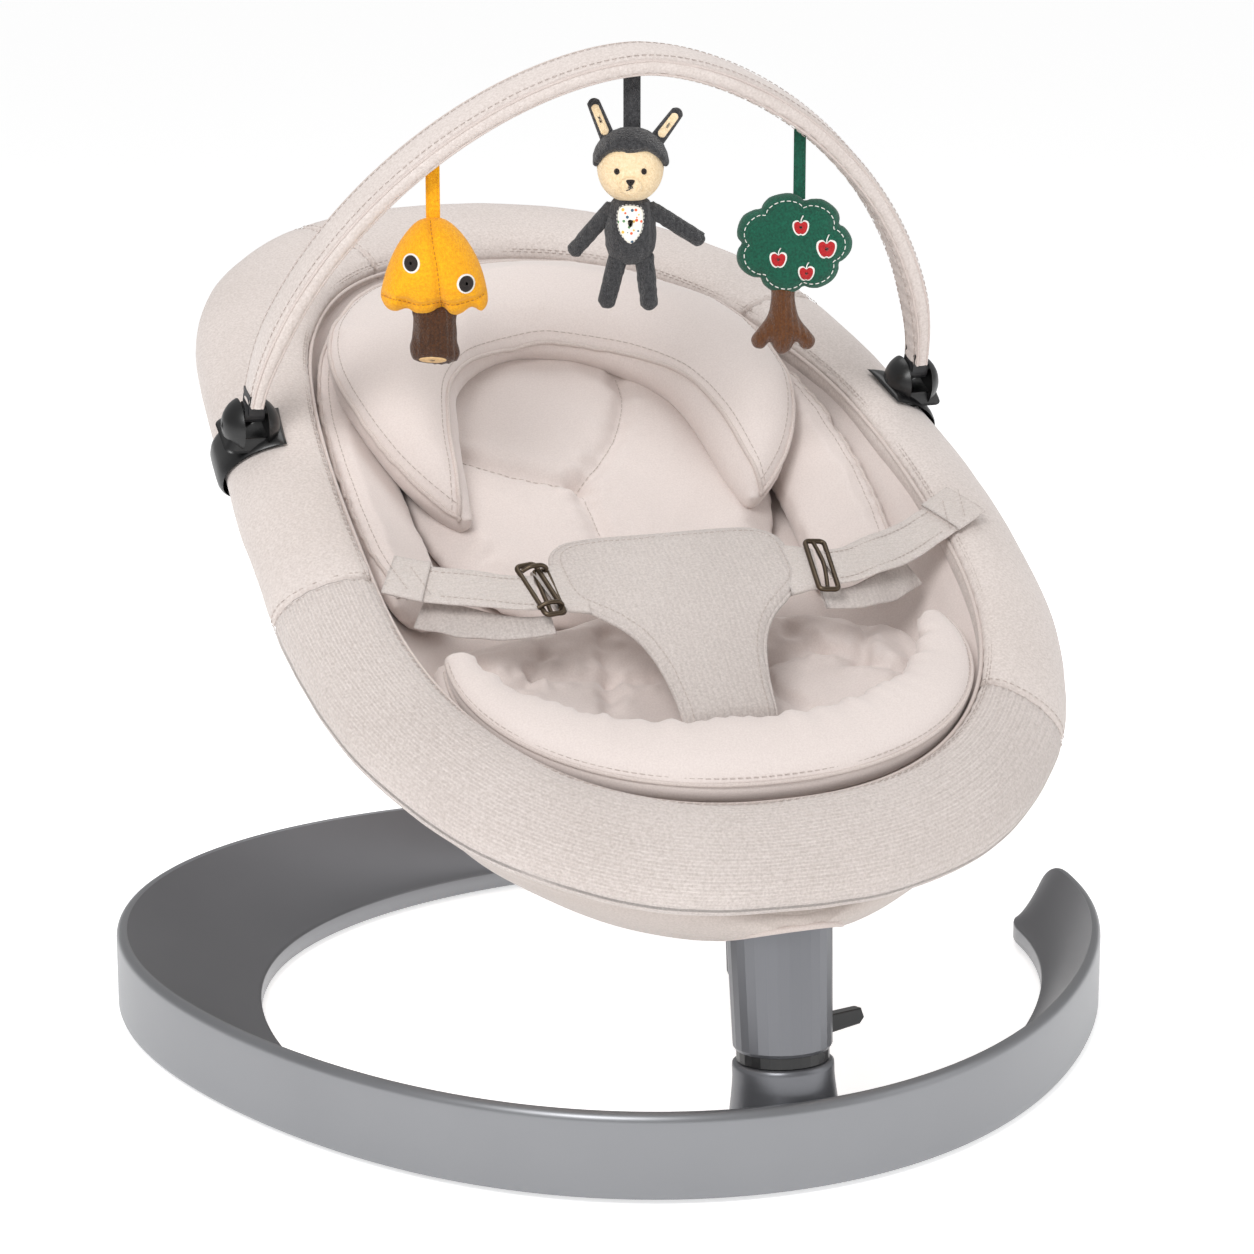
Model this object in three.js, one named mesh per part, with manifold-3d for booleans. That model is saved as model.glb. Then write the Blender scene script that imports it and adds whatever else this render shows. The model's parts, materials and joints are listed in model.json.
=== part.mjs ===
// Baby bouncer seat: a C-shaped ring base, a back-leaning swivel column, a reclining oval seat
// with its cushions and waist harness, and a folding toy bar with three hanging toys.
// Millimetres, +Z up. The origin is on the floor under the swivel column, the foot end of the
// seat points to -Y and the head end to +Y.
import * as THREE from 'three';
import { mergeVertices } from 'three/addons/utils/BufferGeometryUtils.js';
import Module from 'manifold-3d';

const wasm = await Module();
wasm.setup();

// Driving dimensions.
const GAP = 0.35;
const FOOT_HEIGHT = 3;
const RING_CENTRE = [13, 308];
const RING_RADIUS = 340;
const RING_LOBE = 16;
const RING_LOBE_ANGLE = -99.2;
const RING_HEIGHT = 58;
const RING_INNER_HEIGHT = 17;
const RING_START = 5;
const RING_END = -303;
const AXIS_LEAN = 5.5;
const SWIVEL_HEIGHT = 75;
const BOSS_RADIUS = 31;
const COLUMN_RADIUS = 30.5;
const COLUMN_TOP_RADIUS = 32.5;
const COLUMN_LENGTH = 90;
const SPINDLE_RADIUS = 11;
const BUSH_RADIUS = 15.5;
const LEVER_ANGLE = 15;
const HINGE = [0, 62, 151];
const SEAT_HEIGHT = 216;
const SEAT_SLOPE = 30;
const RIM_HALF_WIDTH = 227;
const RIM_FOOT = -20;
const RIM_HEAD = 668;
const HEAD_SAG = 62;
const RIM_WAIST = 235;
const RIM_PAD = [31, 19];
const HEAD_GROWTH = [21, 12];
const TUBE_RADIUS = 9;
const BAR_PIVOT = [236, 388, 24];
const BAR_RISE = 239;
const BAR_LEAN = 10;
const BAR_EYE = 7;
const BAR_SECTION = [30, 14];
const CLIP_CLEARANCE = 2.6;
const FLOOR_DEPTH = 64;
const TONGUE_RADIUS = 28;
const RECLINE_NOTCHES = [0, 5, 10];

const PAINT = {
  aluminium: { color: 0x8f9296, roughness: 0.35, metalness: 0.85 },
  steel: { color: 0x9a9da1, roughness: 0.3, metalness: 0.9 },
  brass: { color: 0x4a4036, roughness: 0.45, metalness: 0.8 },
  black: { color: 0x141415, roughness: 0.3, metalness: 0 },
  nylon: { color: 0x2a2a2c, roughness: 0.6, metalness: 0 },
  rubber: { color: 0x202021, roughness: 0.9, metalness: 0 },
  knit: { color: 0xcdc2bb, roughness: 0.95, metalness: 0 },
  lining: { color: 0xbfb3aa, roughness: 0.95, metalness: 0 },
  satin: { color: 0xe2d6d0, roughness: 0.85, metalness: 0 },
  yellow: { color: 0xe5a21c, roughness: 0.95, metalness: 0 },
  brown: { color: 0x5c3a22, roughness: 0.95, metalness: 0 },
  charcoal: { color: 0x35363a, roughness: 0.95, metalness: 0 },
  green: { color: 0x14603f, roughness: 0.95, metalness: 0 },
};

const rad = THREE.MathUtils.degToRad;
const V3 = (x, y, z) => new THREE.Vector3(x, y, z);

// Solid helpers.
function merged(geometry) {
  const clean = geometry.clone();
  clean.deleteAttribute('normal');
  clean.deleteAttribute('uv');
  const welded = mergeVertices(clean, 1e-4);
  const kept = [];
  for (let i = 0; i < welded.index.count; i += 3) {
    const [a, b, c] = welded.index.array.slice(i, i + 3);
    if (a !== b && b !== c && c !== a) {
      kept.push(a, b, c);
    }
  }
  welded.setIndex(kept);
  return welded;
}

function solid(geometry) {
  const clean = merged(geometry);
  return new wasm.Manifold(new wasm.Mesh({
    numProp: 3,
    vertProperties: new Float32Array(clean.attributes.position.array),
    triVerts: new Uint32Array(clean.index.array),
  }));
}

function geometryOf(manifold) {
  const mesh = manifold.getMesh();
  const geometry = new THREE.BufferGeometry();
  geometry.setAttribute('position', new THREE.BufferAttribute(mesh.vertProperties, 3));
  geometry.setIndex(new THREE.BufferAttribute(mesh.triVerts, 1));
  return geometry;
}

function cut(body, ...tools) {
  return geometryOf(tools.reduce((rest, tool) => rest.subtract(solid(tool)), solid(body)));
}

function join(...bodies) {
  return geometryOf(bodies.slice(1).reduce((sum, next) => sum.add(solid(next)), solid(bodies[0])));
}

// A skin through rings of points. Closed in both directions, it is a tyre; otherwise the two
// end rings are capped by fans.
function loft(rings, { loop = false } = {}) {
  const count = rings[0].length;
  const points = rings.flat();
  const index = [];
  const last = loop ? rings.length : rings.length - 1;
  for (let i = 0; i < last; i++) {
    const next = (i + 1) % rings.length;
    for (let j = 0; j < count; j++) {
      const k = (j + 1) % count;
      const a = i * count + j;
      const b = next * count + j;
      const c = next * count + k;
      const d = i * count + k;
      index.push(a, b, c, a, c, d);
    }
  }
  if (!loop) {
    for (const [row, flip] of [[0, false], [rings.length - 1, true]]) {
      const centre = points.length;
      points.push(rings[row].reduce((sum, p) => sum.add(p), V3(0, 0, 0)).divideScalar(count));
      for (let j = 0; j < count; j++) {
        const a = row * count + j;
        const b = row * count + (j + 1) % count;
        index.push(...(flip ? [centre, b, a] : [centre, a, b]));
      }
    }
  }
  const geometry = new THREE.BufferGeometry().setFromPoints(points);
  geometry.setIndex(index);
  return outward(geometry);
}

// Turns every face over where the enclosed volume comes out negative.
function outward(geometry) {
  const p = geometry.attributes.position;
  const index = geometry.index.array;
  const [a, b, c] = [V3(0, 0, 0), V3(0, 0, 0), V3(0, 0, 0)];
  let volume = 0;
  for (let i = 0; i < index.length; i += 3) {
    a.fromBufferAttribute(p, index[i]);
    b.fromBufferAttribute(p, index[i + 1]);
    c.fromBufferAttribute(p, index[i + 2]);
    volume += a.dot(b.cross(c));
  }
  if (volume < 0) {
    for (let i = 0; i < index.length; i += 3) {
      [index[i], index[i + 1]] = [index[i + 1], index[i]];
    }
  }
  return geometry;
}

// A body of revolution about +Z from [radius, height] corners.
function turned(corners, segments = 20) {
  const profile = corners.map(([r, z]) => new THREE.Vector2(r, z));
  if (corners[0][0] > 0) {
    profile.push(profile[0].clone());
  }
  return outward(merged(new THREE.LatheGeometry(profile, segments).rotateX(Math.PI / 2)));
}

const sleeve = (inner, outer, low, high, segments) => turned(
  [[inner, low], [outer, low], [outer, high], [inner, high]], segments);

const rod = (radius, low, high, segments = 20) => new THREE.CylinderGeometry(
  radius, radius, high - low, segments).rotateX(Math.PI / 2).translate(0, 0, (low + high) / 2);

const block = (x, y, z, cx, cy, cz) => new THREE.BoxGeometry(x, y, z).translate(cx, cy, cz);

// A plate cut from an outline in the y-z plane, centred on x = 0.
function plateYZ(outline, width) {
  const shape = new THREE.Shape(outline.map(([y, z]) => new THREE.Vector2(y, z)));
  const plate = new THREE.ExtrudeGeometry(shape, { depth: width, bevelEnabled: false });
  plate.rotateY(Math.PI / 2).rotateX(Math.PI / 2);
  return plate.translate(-width / 2, 0, 0);
}

// A round bar or tube filling along a curve.
function bar(points, radius, steps, sides = 8) {
  const curve = new THREE.CatmullRomCurve3(points);
  const section = new THREE.Shape().absarc(0, 0, radius, 0, 2 * Math.PI);
  return new THREE.ExtrudeGeometry(section, {
    steps, curveSegments: sides / 2, extrudePath: curve, bevelEnabled: false,
  });
}

const mesh = (name, geometry, paint) => {
  const part = new THREE.Mesh(geometry, new THREE.MeshStandardMaterial(PAINT[paint]));
  part.name = name;
  return part;
};

const object = new THREE.Group();
const stemGroup = new THREE.Group();
stemGroup.position.set(0, 0, SWIVEL_HEIGHT);
stemGroup.rotation.x = -rad(AXIS_LEAN);
const seatGroup = new THREE.Group();
seatGroup.position.set(0, 0, SEAT_HEIGHT);
seatGroup.rotation.x = rad(SEAT_SLOPE);
object.add(stemGroup, seatGroup);
object.updateMatrixWorld(true);
const toStem = (p) => stemGroup.worldToLocal(V3(...p));
const toSeat = (p) => seatGroup.worldToLocal(V3(...p));

// Base: the C-shaped ring with its boss, its rubber pads, the spindle and the thrust washer.
function ringOuter(angle) {
  return RING_RADIUS + RING_LOBE * Math.cos(3 * rad(angle - RING_LOBE_ANGLE));
}

function ringWidth(angle) {
  const off = Math.abs(THREE.MathUtils.euclideanModulo(angle - 143.5 + 180, 360) - 180);
  const swell = off < 85 ? Math.cos(rad(off * 90 / 85)) ** 2 : 0;
  const atHub = Math.abs(THREE.MathUtils.euclideanModulo(angle + 92.4 + 180, 360) - 180);
  const hub = atHub < 18 ? 42 * Math.cos(rad(atHub * 5)) ** 2 : 0;
  return 40 + 66 * swell + hub;
}

function ringSection(angle) {
  const fromEnd = Math.min(RING_START - angle, angle - RING_END);
  const nose = Math.sqrt(1 - (1 - Math.min(1, (fromEnd + 0.1) / 5)) ** 2);
  const outer = ringOuter(angle) - 6 * (1 - nose);
  const width = ringWidth(angle) * (0.5 + 0.5 * nose);
  const inner = outer - width;
  const low = FOOT_HEIGHT + GAP;
  const top = low + (RING_HEIGHT - low) * (0.35 + 0.65 * nose);
  const lip = Math.min(6, width * 0.3);
  const corners = [[inner + 2, low], [outer - 2, low], [outer, low + 2], [outer, top - lip],
    [outer - lip * 0.3, top - lip * 0.3], [outer - lip, top]];
  for (const w of [0.82, 0.62, 0.4, 0.2, 0]) {
    const height = RING_INNER_HEIGHT + (top - RING_INNER_HEIGHT) * w ** 1.5;
    corners.push([inner + (width - lip) * w, Math.max(height, low + 4)]);
  }
  const [cx, cy] = RING_CENTRE;
  return corners.map(([r, z]) => V3(
    cx + r * Math.cos(rad(angle)), cy + r * Math.sin(rad(angle)), z));
}

function ringAngles() {
  const angles = [];
  for (const near of [0, 0.6, 1.4, 2.6, 4, 6]) {
    angles.push(RING_START - near);
  }
  for (let angle = RING_START - 12; angle > RING_END + 9; angle -= 7) {
    angles.push(angle);
  }
  for (const near of [6, 4, 2.6, 1.4, 0.6, 0]) {
    angles.push(RING_END + near);
  }
  return angles;
}

function bossBody() {
  const lean = (geometry) => geometry.applyMatrix4(stemGroup.matrix);
  const profile = [[0, -80], [BOSS_RADIUS + 4, -80], [BOSS_RADIUS + 4, -30],
    [BOSS_RADIUS + 1.5, -22], [BOSS_RADIUS, -15], [BOSS_RADIUS, -6], [BOSS_RADIUS - 1.5, -4],
    [0, -4]];
  const bore = lean(rod(SPINDLE_RADIUS + GAP, -58, 0, 20));
  const floor = block(200, 200, 40, 0, 0, FOOT_HEIGHT + GAP - 20);
  return { body: lean(turned(profile, 28)), cuts: [bore, floor] };
}

function makeBase() {
  const ring = loft(ringAngles().map(ringSection));
  const boss = bossBody();
  object.add(mesh('base_ring', cut(join(ring, boss.body), ...boss.cuts), 'aluminium'));
  const pad = (x, y, radius) => rod(radius, 0, FOOT_HEIGHT, 16).translate(x, y, 0);
  object.add(mesh('foot_pad_hub', pad(0, 0, 16), 'rubber'));
  [-8, -50, -132, -170, -215, -255, -292].forEach((angle, i) => {
    const middle = ringOuter(angle) - ringWidth(angle) / 2;
    const x = RING_CENTRE[0] + middle * Math.cos(rad(angle));
    const y = RING_CENTRE[1] + middle * Math.sin(rad(angle));
    object.add(mesh(`foot_pad_${i + 1}`, pad(x, y, 11), 'rubber'));
  });
  const spindle = turned([[0, -57], [SPINDLE_RADIUS, -57], [SPINDLE_RADIUS, 60],
    [SPINDLE_RADIUS - 2, 60], [SPINDLE_RADIUS - 2, 63], [SPINDLE_RADIUS, 63],
    [SPINDLE_RADIUS, 66], [SPINDLE_RADIUS - 1, 67], [0, 67]], 20);
  stemGroup.add(
    mesh('spindle', spindle, 'steel'),
    mesh('thrust_washer', sleeve(SPINDLE_RADIUS + GAP, 28.5, -4 + GAP, 3, 28), 'black'),
    mesh('retaining_ring', sleeve(SPINDLE_RADIUS - 2 + GAP, 14.5, 60 + GAP, 63 - GAP, 20), 'steel'),
  );
}

// Stem: the column with its rear arm, bushes, hinge pin and the sway brake.
const leverTurn = (geometry) => geometry.rotateZ(rad(LEVER_ANGLE));
const LEVER_PIVOT = [27, 12];
const PLUNGER_AT = 20.4;

function tongueOutline(hinge) {
  const corners = [];
  const pawlAngle = SEAT_SLOPE + AXIS_LEAN;
  for (let angle = -38; angle <= 72; angle += 5.5) {
    corners.push([angle, TONGUE_RADIUS]);
  }
  for (const turn of RECLINE_NOTCHES) {
    corners.push([pawlAngle - turn - 1.6, TONGUE_RADIUS], [pawlAngle - turn, TONGUE_RADIUS - 2],
      [pawlAngle - turn + 1.6, TONGUE_RADIUS]);
  }
  const clear = (angle, radius) => radius < TONGUE_RADIUS || RECLINE_NOTCHES.every(
    (turn) => Math.abs(angle - pawlAngle + turn) > 1.5);
  return corners.filter(([angle, radius]) => clear(angle, radius))
    .sort((one, two) => one[0] - two[0])
    .map(([angle, radius]) => [
      hinge.y + radius * Math.cos(rad(angle)), hinge.z + radius * Math.sin(rad(angle))]);
}

function makeStem() {
  const hinge = toStem(HINGE);
  const shell = turned([[0, 3.3], [29, 3.3], [COLUMN_RADIUS, 5.5],
    [COLUMN_TOP_RADIUS, COLUMN_LENGTH - 4], [COLUMN_TOP_RADIUS - 3, COLUMN_LENGTH],
    [0, COLUMN_LENGTH]], 28);
  const arm = plateYZ([[0, 44], [24, 40], [31, 45], [37, 51], [46, 56],
    ...tongueOutline(hinge), [hinge.y - 4, hinge.z + 16], [34, COLUMN_LENGTH - 2],
    [0, COLUMN_LENGTH - 2]], 44);
  const tongueSide = (side) => block(20, 80, 70, side * (12 + 10), hinge.y + 18, hinge.z);
  const bore = rod(BUSH_RADIUS + GAP, 0, 74, 20);
  const pinBore = new THREE.CylinderGeometry(5 + GAP, 5 + GAP, 80, 20).rotateZ(Math.PI / 2)
    .translate(0, hinge.y, hinge.z);
  const slot = leverTurn(block(30, 9.6, 18.5, 32, 0, LEVER_PIVOT[1] + 1.5));
  const plungerBore = leverTurn(rod(2.8 + GAP, 0, LEVER_PIVOT[1], 16)
    .translate(PLUNGER_AT, 0, 0));
  const column = cut(join(shell, arm), bore, tongueSide(1), tongueSide(-1), pinBore, slot,
    plungerBore);
  stemGroup.add(
    mesh('stem_column', column, 'aluminium'),
    mesh('lower_bush', sleeve(SPINDLE_RADIUS + GAP, BUSH_RADIUS, 5, 20, 20), 'nylon'),
    mesh('upper_bush', sleeve(SPINDLE_RADIUS + GAP, BUSH_RADIUS, 42, 58, 20), 'nylon'),
  );
  const pin = new THREE.CylinderGeometry(5, 5, 44, 20).rotateZ(Math.PI / 2);
  const hingePin = mesh('recline_pin', pin, 'steel');
  hingePin.position.copy(hinge);
  stemGroup.add(hingePin);
}

function makeLever() {
  const [reach, height] = LEVER_PIVOT;
  const outline = new THREE.Shape();
  outline.moveTo(-8.5, -3.6);
  outline.lineTo(4, -6);
  outline.lineTo(31, -4);
  outline.lineTo(34, -1);
  outline.lineTo(32, 4.5);
  outline.lineTo(4, 4.5);
  outline.lineTo(-8.5, 0);
  const blade = new THREE.ExtrudeGeometry(outline, {
    depth: 6.6, bevelEnabled: true, bevelSize: 0.7, bevelThickness: 0.7, bevelSegments: 1,
  }).rotateX(Math.PI / 2).translate(0, 3.3, 0);
  const lever = mesh('sway_lever', blade, 'black');
  lever.position.set(reach, 0, height);
  const plunger = mesh('brake_plunger', turned([[0, 4.8], [2.3, 4.8], [2.8, 5.3], [2.8, 6.8],
    [0, 6.8]], 16), 'nylon');
  plunger.position.x = PLUNGER_AT;
  const side = new THREE.Group();
  side.rotation.z = rad(LEVER_ANGLE);
  side.add(lever, plunger);
  stemGroup.add(side);
}

// Seat outline: two half superellipses that meet at the widest line.
function eggPoint(turn, half, foot, head, height = 0) {
  const [c, s] = [Math.cos(turn), Math.sin(turn)];
  const power = s < 0 ? 2 / 2.3 : 2 / 2.4;
  const reach = s < 0 ? RIM_WAIST - foot : head - RIM_WAIST;
  return V3(
    half * Math.sign(c) * Math.abs(c) ** power,
    RIM_WAIST + reach * Math.sign(s) * Math.abs(s) ** power,
    height,
  );
}

// How far the seat frame curves back below the seat plane towards the head.
const sag = (s) => (s > 200 ? -HEAD_SAG * ((s - 200) / 450) ** 2 : 0);

function rimLoop() {
  const corners = [];
  for (let i = 0; i < 72; i++) {
    const corner = eggPoint(2 * Math.PI * i / 72, RIM_HALF_WIDTH, RIM_FOOT, RIM_HEAD);
    corner.z = sag(corner.y);
    corners.push(corner);
  }
  return new THREE.CatmullRomCurve3(corners, true);
}

const rimCurve = rimLoop();

// The rim pad's section at a share of the way round: u points out of the seat, n up.
function rimSection(share, count, shape) {
  const centre = rimCurve.getPointAt(share);
  const tangent = rimCurve.getTangentAt(share);
  const out = V3(tangent.y, -tangent.x, 0).normalize();
  const ring = [];
  for (let i = 0; i < count; i++) {
    const [u, n] = shape(2 * Math.PI * i / count, centre.y);
    ring.push(centre.clone().addScaledVector(out, u).add(V3(0, 0, n)));
  }
  return ring;
}

// The pad grows outwards and deeper towards the head end.
function padShape(turn, along = 0) {
  const [c, s] = [Math.cos(turn), Math.sin(turn)];
  const growth = THREE.MathUtils.smoothstep(along, 370, 590);
  const outer = c > 0 ? HEAD_GROWTH[0] * growth : 0;
  const deeper = s < 0 ? HEAD_GROWTH[1] * growth : 0;
  const u = (RIM_PAD[0] + outer) * Math.sign(c) * Math.abs(c) ** 0.85;
  const n = (RIM_PAD[1] + deeper) * Math.sign(s) * Math.abs(s) ** 0.85;
  return [u, n - 0.33 * u * (1 - 0.6 * growth) - 1];
}

const circleShape = (radius) => (turn) => [radius * Math.cos(turn), radius * Math.sin(turn)];

function rimPiece(from, to, steps, count, shape) {
  const rings = [];
  for (let i = 0; i <= steps; i++) {
    const share = THREE.MathUtils.euclideanModulo(from + (to - from) * i / steps, 1);
    rings.push(rimSection(share, count, shape));
  }
  return loft(rings);
}

const CRADLES = [[72, 'cradle_tube_front'], [150, 'cradle_tube_rear']];
const CRADLE_DEPTH = -104;
const CRADLE_RADIUS = 7;

function cradleHalfWidth(s) {
  const fall = (RIM_WAIST - s) / (RIM_WAIST - RIM_FOOT);
  return RIM_HALF_WIDTH * (1 - fall ** 2.3) ** (1 / 2.3);
}

function cradlePath(s) {
  const half = cradleHalfWidth(s);
  const side = (k) => [V3(k * (half - 2), s, -TUBE_RADIUS - CRADLE_RADIUS - 1),
    V3(k * (half - 14), s, -42), V3(k * half * 0.66, s, -80),
    V3(k * 40, s, CRADLE_DEPTH)];
  return [...side(-1), ...side(1).reverse()];
}

const PANELS = [
  ['rim_right_panel', -0.09, 0.155, 10],
  ['rim_head_panel', 0.155, 0.345, 10],
  ['rim_left_panel', 0.345, 0.59, 10],
  ['rim_foot_panel', 0.59, 0.91, 14],
];

function makeFrame() {
  const half = (name, from, to) => mesh(name, rimPiece(from, to, 24, 8,
    circleShape(TUBE_RADIUS)), 'steel');
  seatGroup.add(half('frame_tube_foot', 0.501, 0.999), half('frame_tube_head', 0.001, 0.499));
  for (const [s, name] of CRADLES) {
    seatGroup.add(mesh(name, bar(cradlePath(s), CRADLE_RADIUS, 14), 'steel'));
  }
  const clearances = CRADLES.map(([s]) => bar(cradlePath(s), CRADLE_RADIUS + 1.2, 14));
  for (const [name, from, to, steps] of PANELS) {
    const seam = 0.0004;
    const pad = rimPiece(from + seam, to - seam, steps, 12, padShape);
    const hole = rimPiece(from - 0.004, to + 0.004, steps, 8, circleShape(TUBE_RADIUS + 2));
    seatGroup.add(mesh(name, cut(pad, hole, ...clearances), 'knit'));
  }
}

// Chassis under the seat: the beam on the cradle tubes, with the recline pawl in it.
function makeChassis() {
  const hinge = toSeat(HINGE);
  const [hs, hn] = [hinge.y, hinge.z];
  const body = block(56, 116, 36, 0, hs + 34 + 58, hn - 9);
  const earPlate = (side) => {
    const x = side * 16.4;
    const eye = new THREE.CylinderGeometry(12, 12, 7, 24).rotateZ(Math.PI / 2)
      .translate(x, hs, hn);
    return join(eye, block(7, 50, 20, x, hs + 25, hn - 2));
  };
  const cradleBores = CRADLES.map(([s]) => bar(cradlePath(s), CRADLE_RADIUS + GAP, 14));
  const pinBore = new THREE.CylinderGeometry(5 + GAP, 5 + GAP, 80, 20).rotateZ(Math.PI / 2)
    .translate(0, hs, hn);
  const channel = block(11, 90, 9, 0, hs + 30 + 45, hn);
  const tabSlot = block(9, 15, 60, 0, hs + 72.5, hn - 30);
  const beam = cut(join(body, earPlate(1), earPlate(-1)), ...cradleBores, pinBore, channel,
    tabSlot);
  seatGroup.add(mesh('chassis_beam', beam, 'nylon'));
  const nose = TONGUE_RADIUS + GAP + 0.3;
  const pawlBar = block(10, 74 - nose, 8, 0, hs + (74 + nose) / 2, hn);
  const tab = block(8, 7, 56, 0, hs + 70, hn - 26);
  const grip = block(20, 7, 10, 0, hs + 70, hn - 50);
  seatGroup.add(
    mesh('recline_pawl', join(pawlBar, tab, grip), 'black'),
    mesh('pawl_spring', sleeve(2.4, 3.6, 0, 24, 12).rotateX(-Math.PI / 2)
      .translate(0, hs + 81, hn), 'steel'),
  );
}

// Fabric: the sling inside the rim, the cover under it and the cushions on it.
const OPENING = { half: 191, foot: 27, head: 632 };

function openingShare(x, s) {
  const below = s < RIM_WAIST;
  const power = below ? 2.3 : 2.4;
  const reach = below ? RIM_WAIST - OPENING.foot : OPENING.head - RIM_WAIST;
  return ((Math.abs(x) / OPENING.half) ** power
    + (Math.abs(s - RIM_WAIST) / reach) ** power) ** (1 / power);
}

function floorHeight(x, s) {
  const share = Math.min(1, openingShare(x, s));
  const depth = FLOOR_DEPTH - 22 * THREE.MathUtils.smoothstep(s, 150, 600);
  return sag(s) - 12 - depth * (1 - share ** 4);
}

function makeSling() {
  const rings = [];
  const ring = (scale, lower) => {
    const points = [];
    for (let i = 0; i < 28; i++) {
      const p = eggPoint(2 * Math.PI * i / 28, OPENING.half, OPENING.foot, OPENING.head);
      const x = p.x * scale;
      const s = RIM_WAIST + (p.y - RIM_WAIST) * scale;
      points.push(V3(x, s, floorHeight(x, s) - lower));
    }
    return points;
  };
  const scales = [0.15, 0.6, 0.8, 0.92, 1];
  scales.forEach((scale) => rings.push(ring(scale, 0)));
  scales.reverse().forEach((scale) => rings.push(ring(scale, 2)));
  seatGroup.add(mesh('seat_sling', loft(rings), 'lining'));
}

// Under-cover ring: from the rim's lower seam (down = 0) to the hem round the column (down = 1).
function coverRing(down, inset) {
  const points = [];
  for (let i = 0; i < 28; i++) {
    const turn = 2 * Math.PI * i / 28;
    const [c, s] = [Math.cos(turn), Math.sin(turn)];
    const top = eggPoint(turn, RIM_HALF_WIDTH + 14 - inset, RIM_FOOT - 14 + inset,
      RIM_HEAD + 14 - inset);
    top.z = sag(top.y) - 27 - 18 * THREE.MathUtils.smoothstep(top.y, 350, 570);
    const hem = toSeat([(39 - inset) * Math.sign(c) * Math.abs(c) ** 0.7,
      30 + (62 - inset) * Math.sign(s) * Math.abs(s) ** 0.8, 145 - 19 * s]);
    const p = top.lerp(hem, down);
    const fullness = 50 * c * c + 22 * Math.max(0, s) ** 2 - 4 * Math.max(0, -s);
    p.z -= (fullness - inset) * Math.sin(Math.PI * down) ** 0.75;
    points.push(p);
  }
  return points;
}

function makeCover() {
  const downs = [0, 0.14, 0.4, 0.7, 0.88, 1];
  const outer = downs.map((down) => coverRing(down, 0));
  const inner = downs.reverse().map((down) => coverRing(down, 2.5));
  const hinge = toSeat(HINGE);
  const tabSlot = block(26, 17, 60, 0, hinge.y + 73, hinge.z - 50);
  const cover = cut(loft([...outer, ...inner], { loop: true }), tabSlot);
  seatGroup.add(mesh('under_cover', cover, 'lining'));
}

// A pad lying on the sling: a crowned disc over an outline given as [x, s] by turn.
function restingPad(outline, centre, lift, thickness, shares = [0.2, 0.6, 0.88, 1]) {
  const ring = (share, upper) => outline.map(([x, s]) => {
    const px = x * share;
    const ps = centre + (s - centre) * share;
    const crown = upper ? thickness * (1 - 0.75 * share ** 4) : 0;
    return V3(px, ps, floorHeight(px, ps) + lift + crown);
  });
  const upper = shares.map((share) => ring(share, true));
  const lower = [...shares].reverse().map((share) => ring(share, false));
  return loft([...upper, ...lower]);
}

function roundOutline(halfWidth, low, high, power, count = 18) {
  const outline = [];
  for (let i = 0; i < count; i++) {
    const turn = 2 * Math.PI * i / count;
    const [c, s] = [Math.cos(turn), Math.sin(turn)];
    outline.push([halfWidth * Math.sign(c) * Math.abs(c) ** power,
      (low + high) / 2 + (high - low) / 2 * Math.sign(s) * Math.abs(s) ** power]);
  }
  return outline;
}

// A stuffed roll along a path: each station has its centre, half width and half height, and may
// be tilted about the path.
function roll(stations, count = 10) {
  const rings = stations.map(({ at, half, high, tilt = 0 }, i) => {
    const before = stations[Math.max(0, i - 1)].at;
    const after = stations[Math.min(stations.length - 1, i + 1)].at;
    const along = after.clone().sub(before).normalize();
    const across = V3(0, 0, 1).cross(along).normalize().applyAxisAngle(along, tilt);
    const up = along.clone().cross(across);
    const ring = [];
    for (let j = 0; j < count; j++) {
      const turn = 2 * Math.PI * j / count;
      ring.push(at.clone().addScaledVector(across, half * Math.cos(turn))
        .addScaledVector(up, high * Math.sin(turn)));
    }
    return ring;
  });
  return loft(rings);
}

function huggerStations() {
  const stations = [];
  for (let i = 0; i <= 16; i++) {
    const turn = Math.PI * (-0.2 + 1.4 * i / 16);
    const fat = Math.sin(Math.PI * (i + 1) / 18) ** 0.6;
    const x = 136 * Math.cos(turn);
    const s = 430 + 142 * Math.sin(turn);
    stations.push({ at: V3(x, s, sag(s) + 11 - 22 * (1 - fat)), half: 10 + 30 * fat,
      high: 5 + 15 * fat });
  }
  return stations;
}

const SIDE_PAD_TILT = rad(38);

function sideStations(side) {
  const stations = [];
  for (let i = 0; i <= 10; i++) {
    const s = 262 + 230 * i / 10;
    const fat = Math.sin(Math.PI * (i + 0.6) / 11.2) ** 0.4;
    const x = side * (170 - 34 * ((s - 262) / 230) ** 2.4);
    stations.push({ at: V3(x, s, floorHeight(x, s) + 12), half: 16 * fat, high: 6 * fat,
      tilt: -side * SIDE_PAD_TILT });
  }
  return stations;
}

function bolsterStations() {
  const stations = [];
  for (let i = 0; i <= 16; i++) {
    const turn = Math.PI * (1 + i / 16);
    const fat = Math.sin(Math.PI * (i + 1.2) / 18.4) ** 0.5;
    const x = 158 * Math.sign(Math.cos(turn)) * Math.abs(Math.cos(turn)) ** 0.9;
    const s = 152 - 102 * Math.abs(Math.sin(turn)) ** 0.9;
    stations.push({ at: V3(x, s, 9 - 8 * (1 - fat)), half: 8 + 17 * fat, high: 6 + 16 * fat });
  }
  return stations;
}

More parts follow.
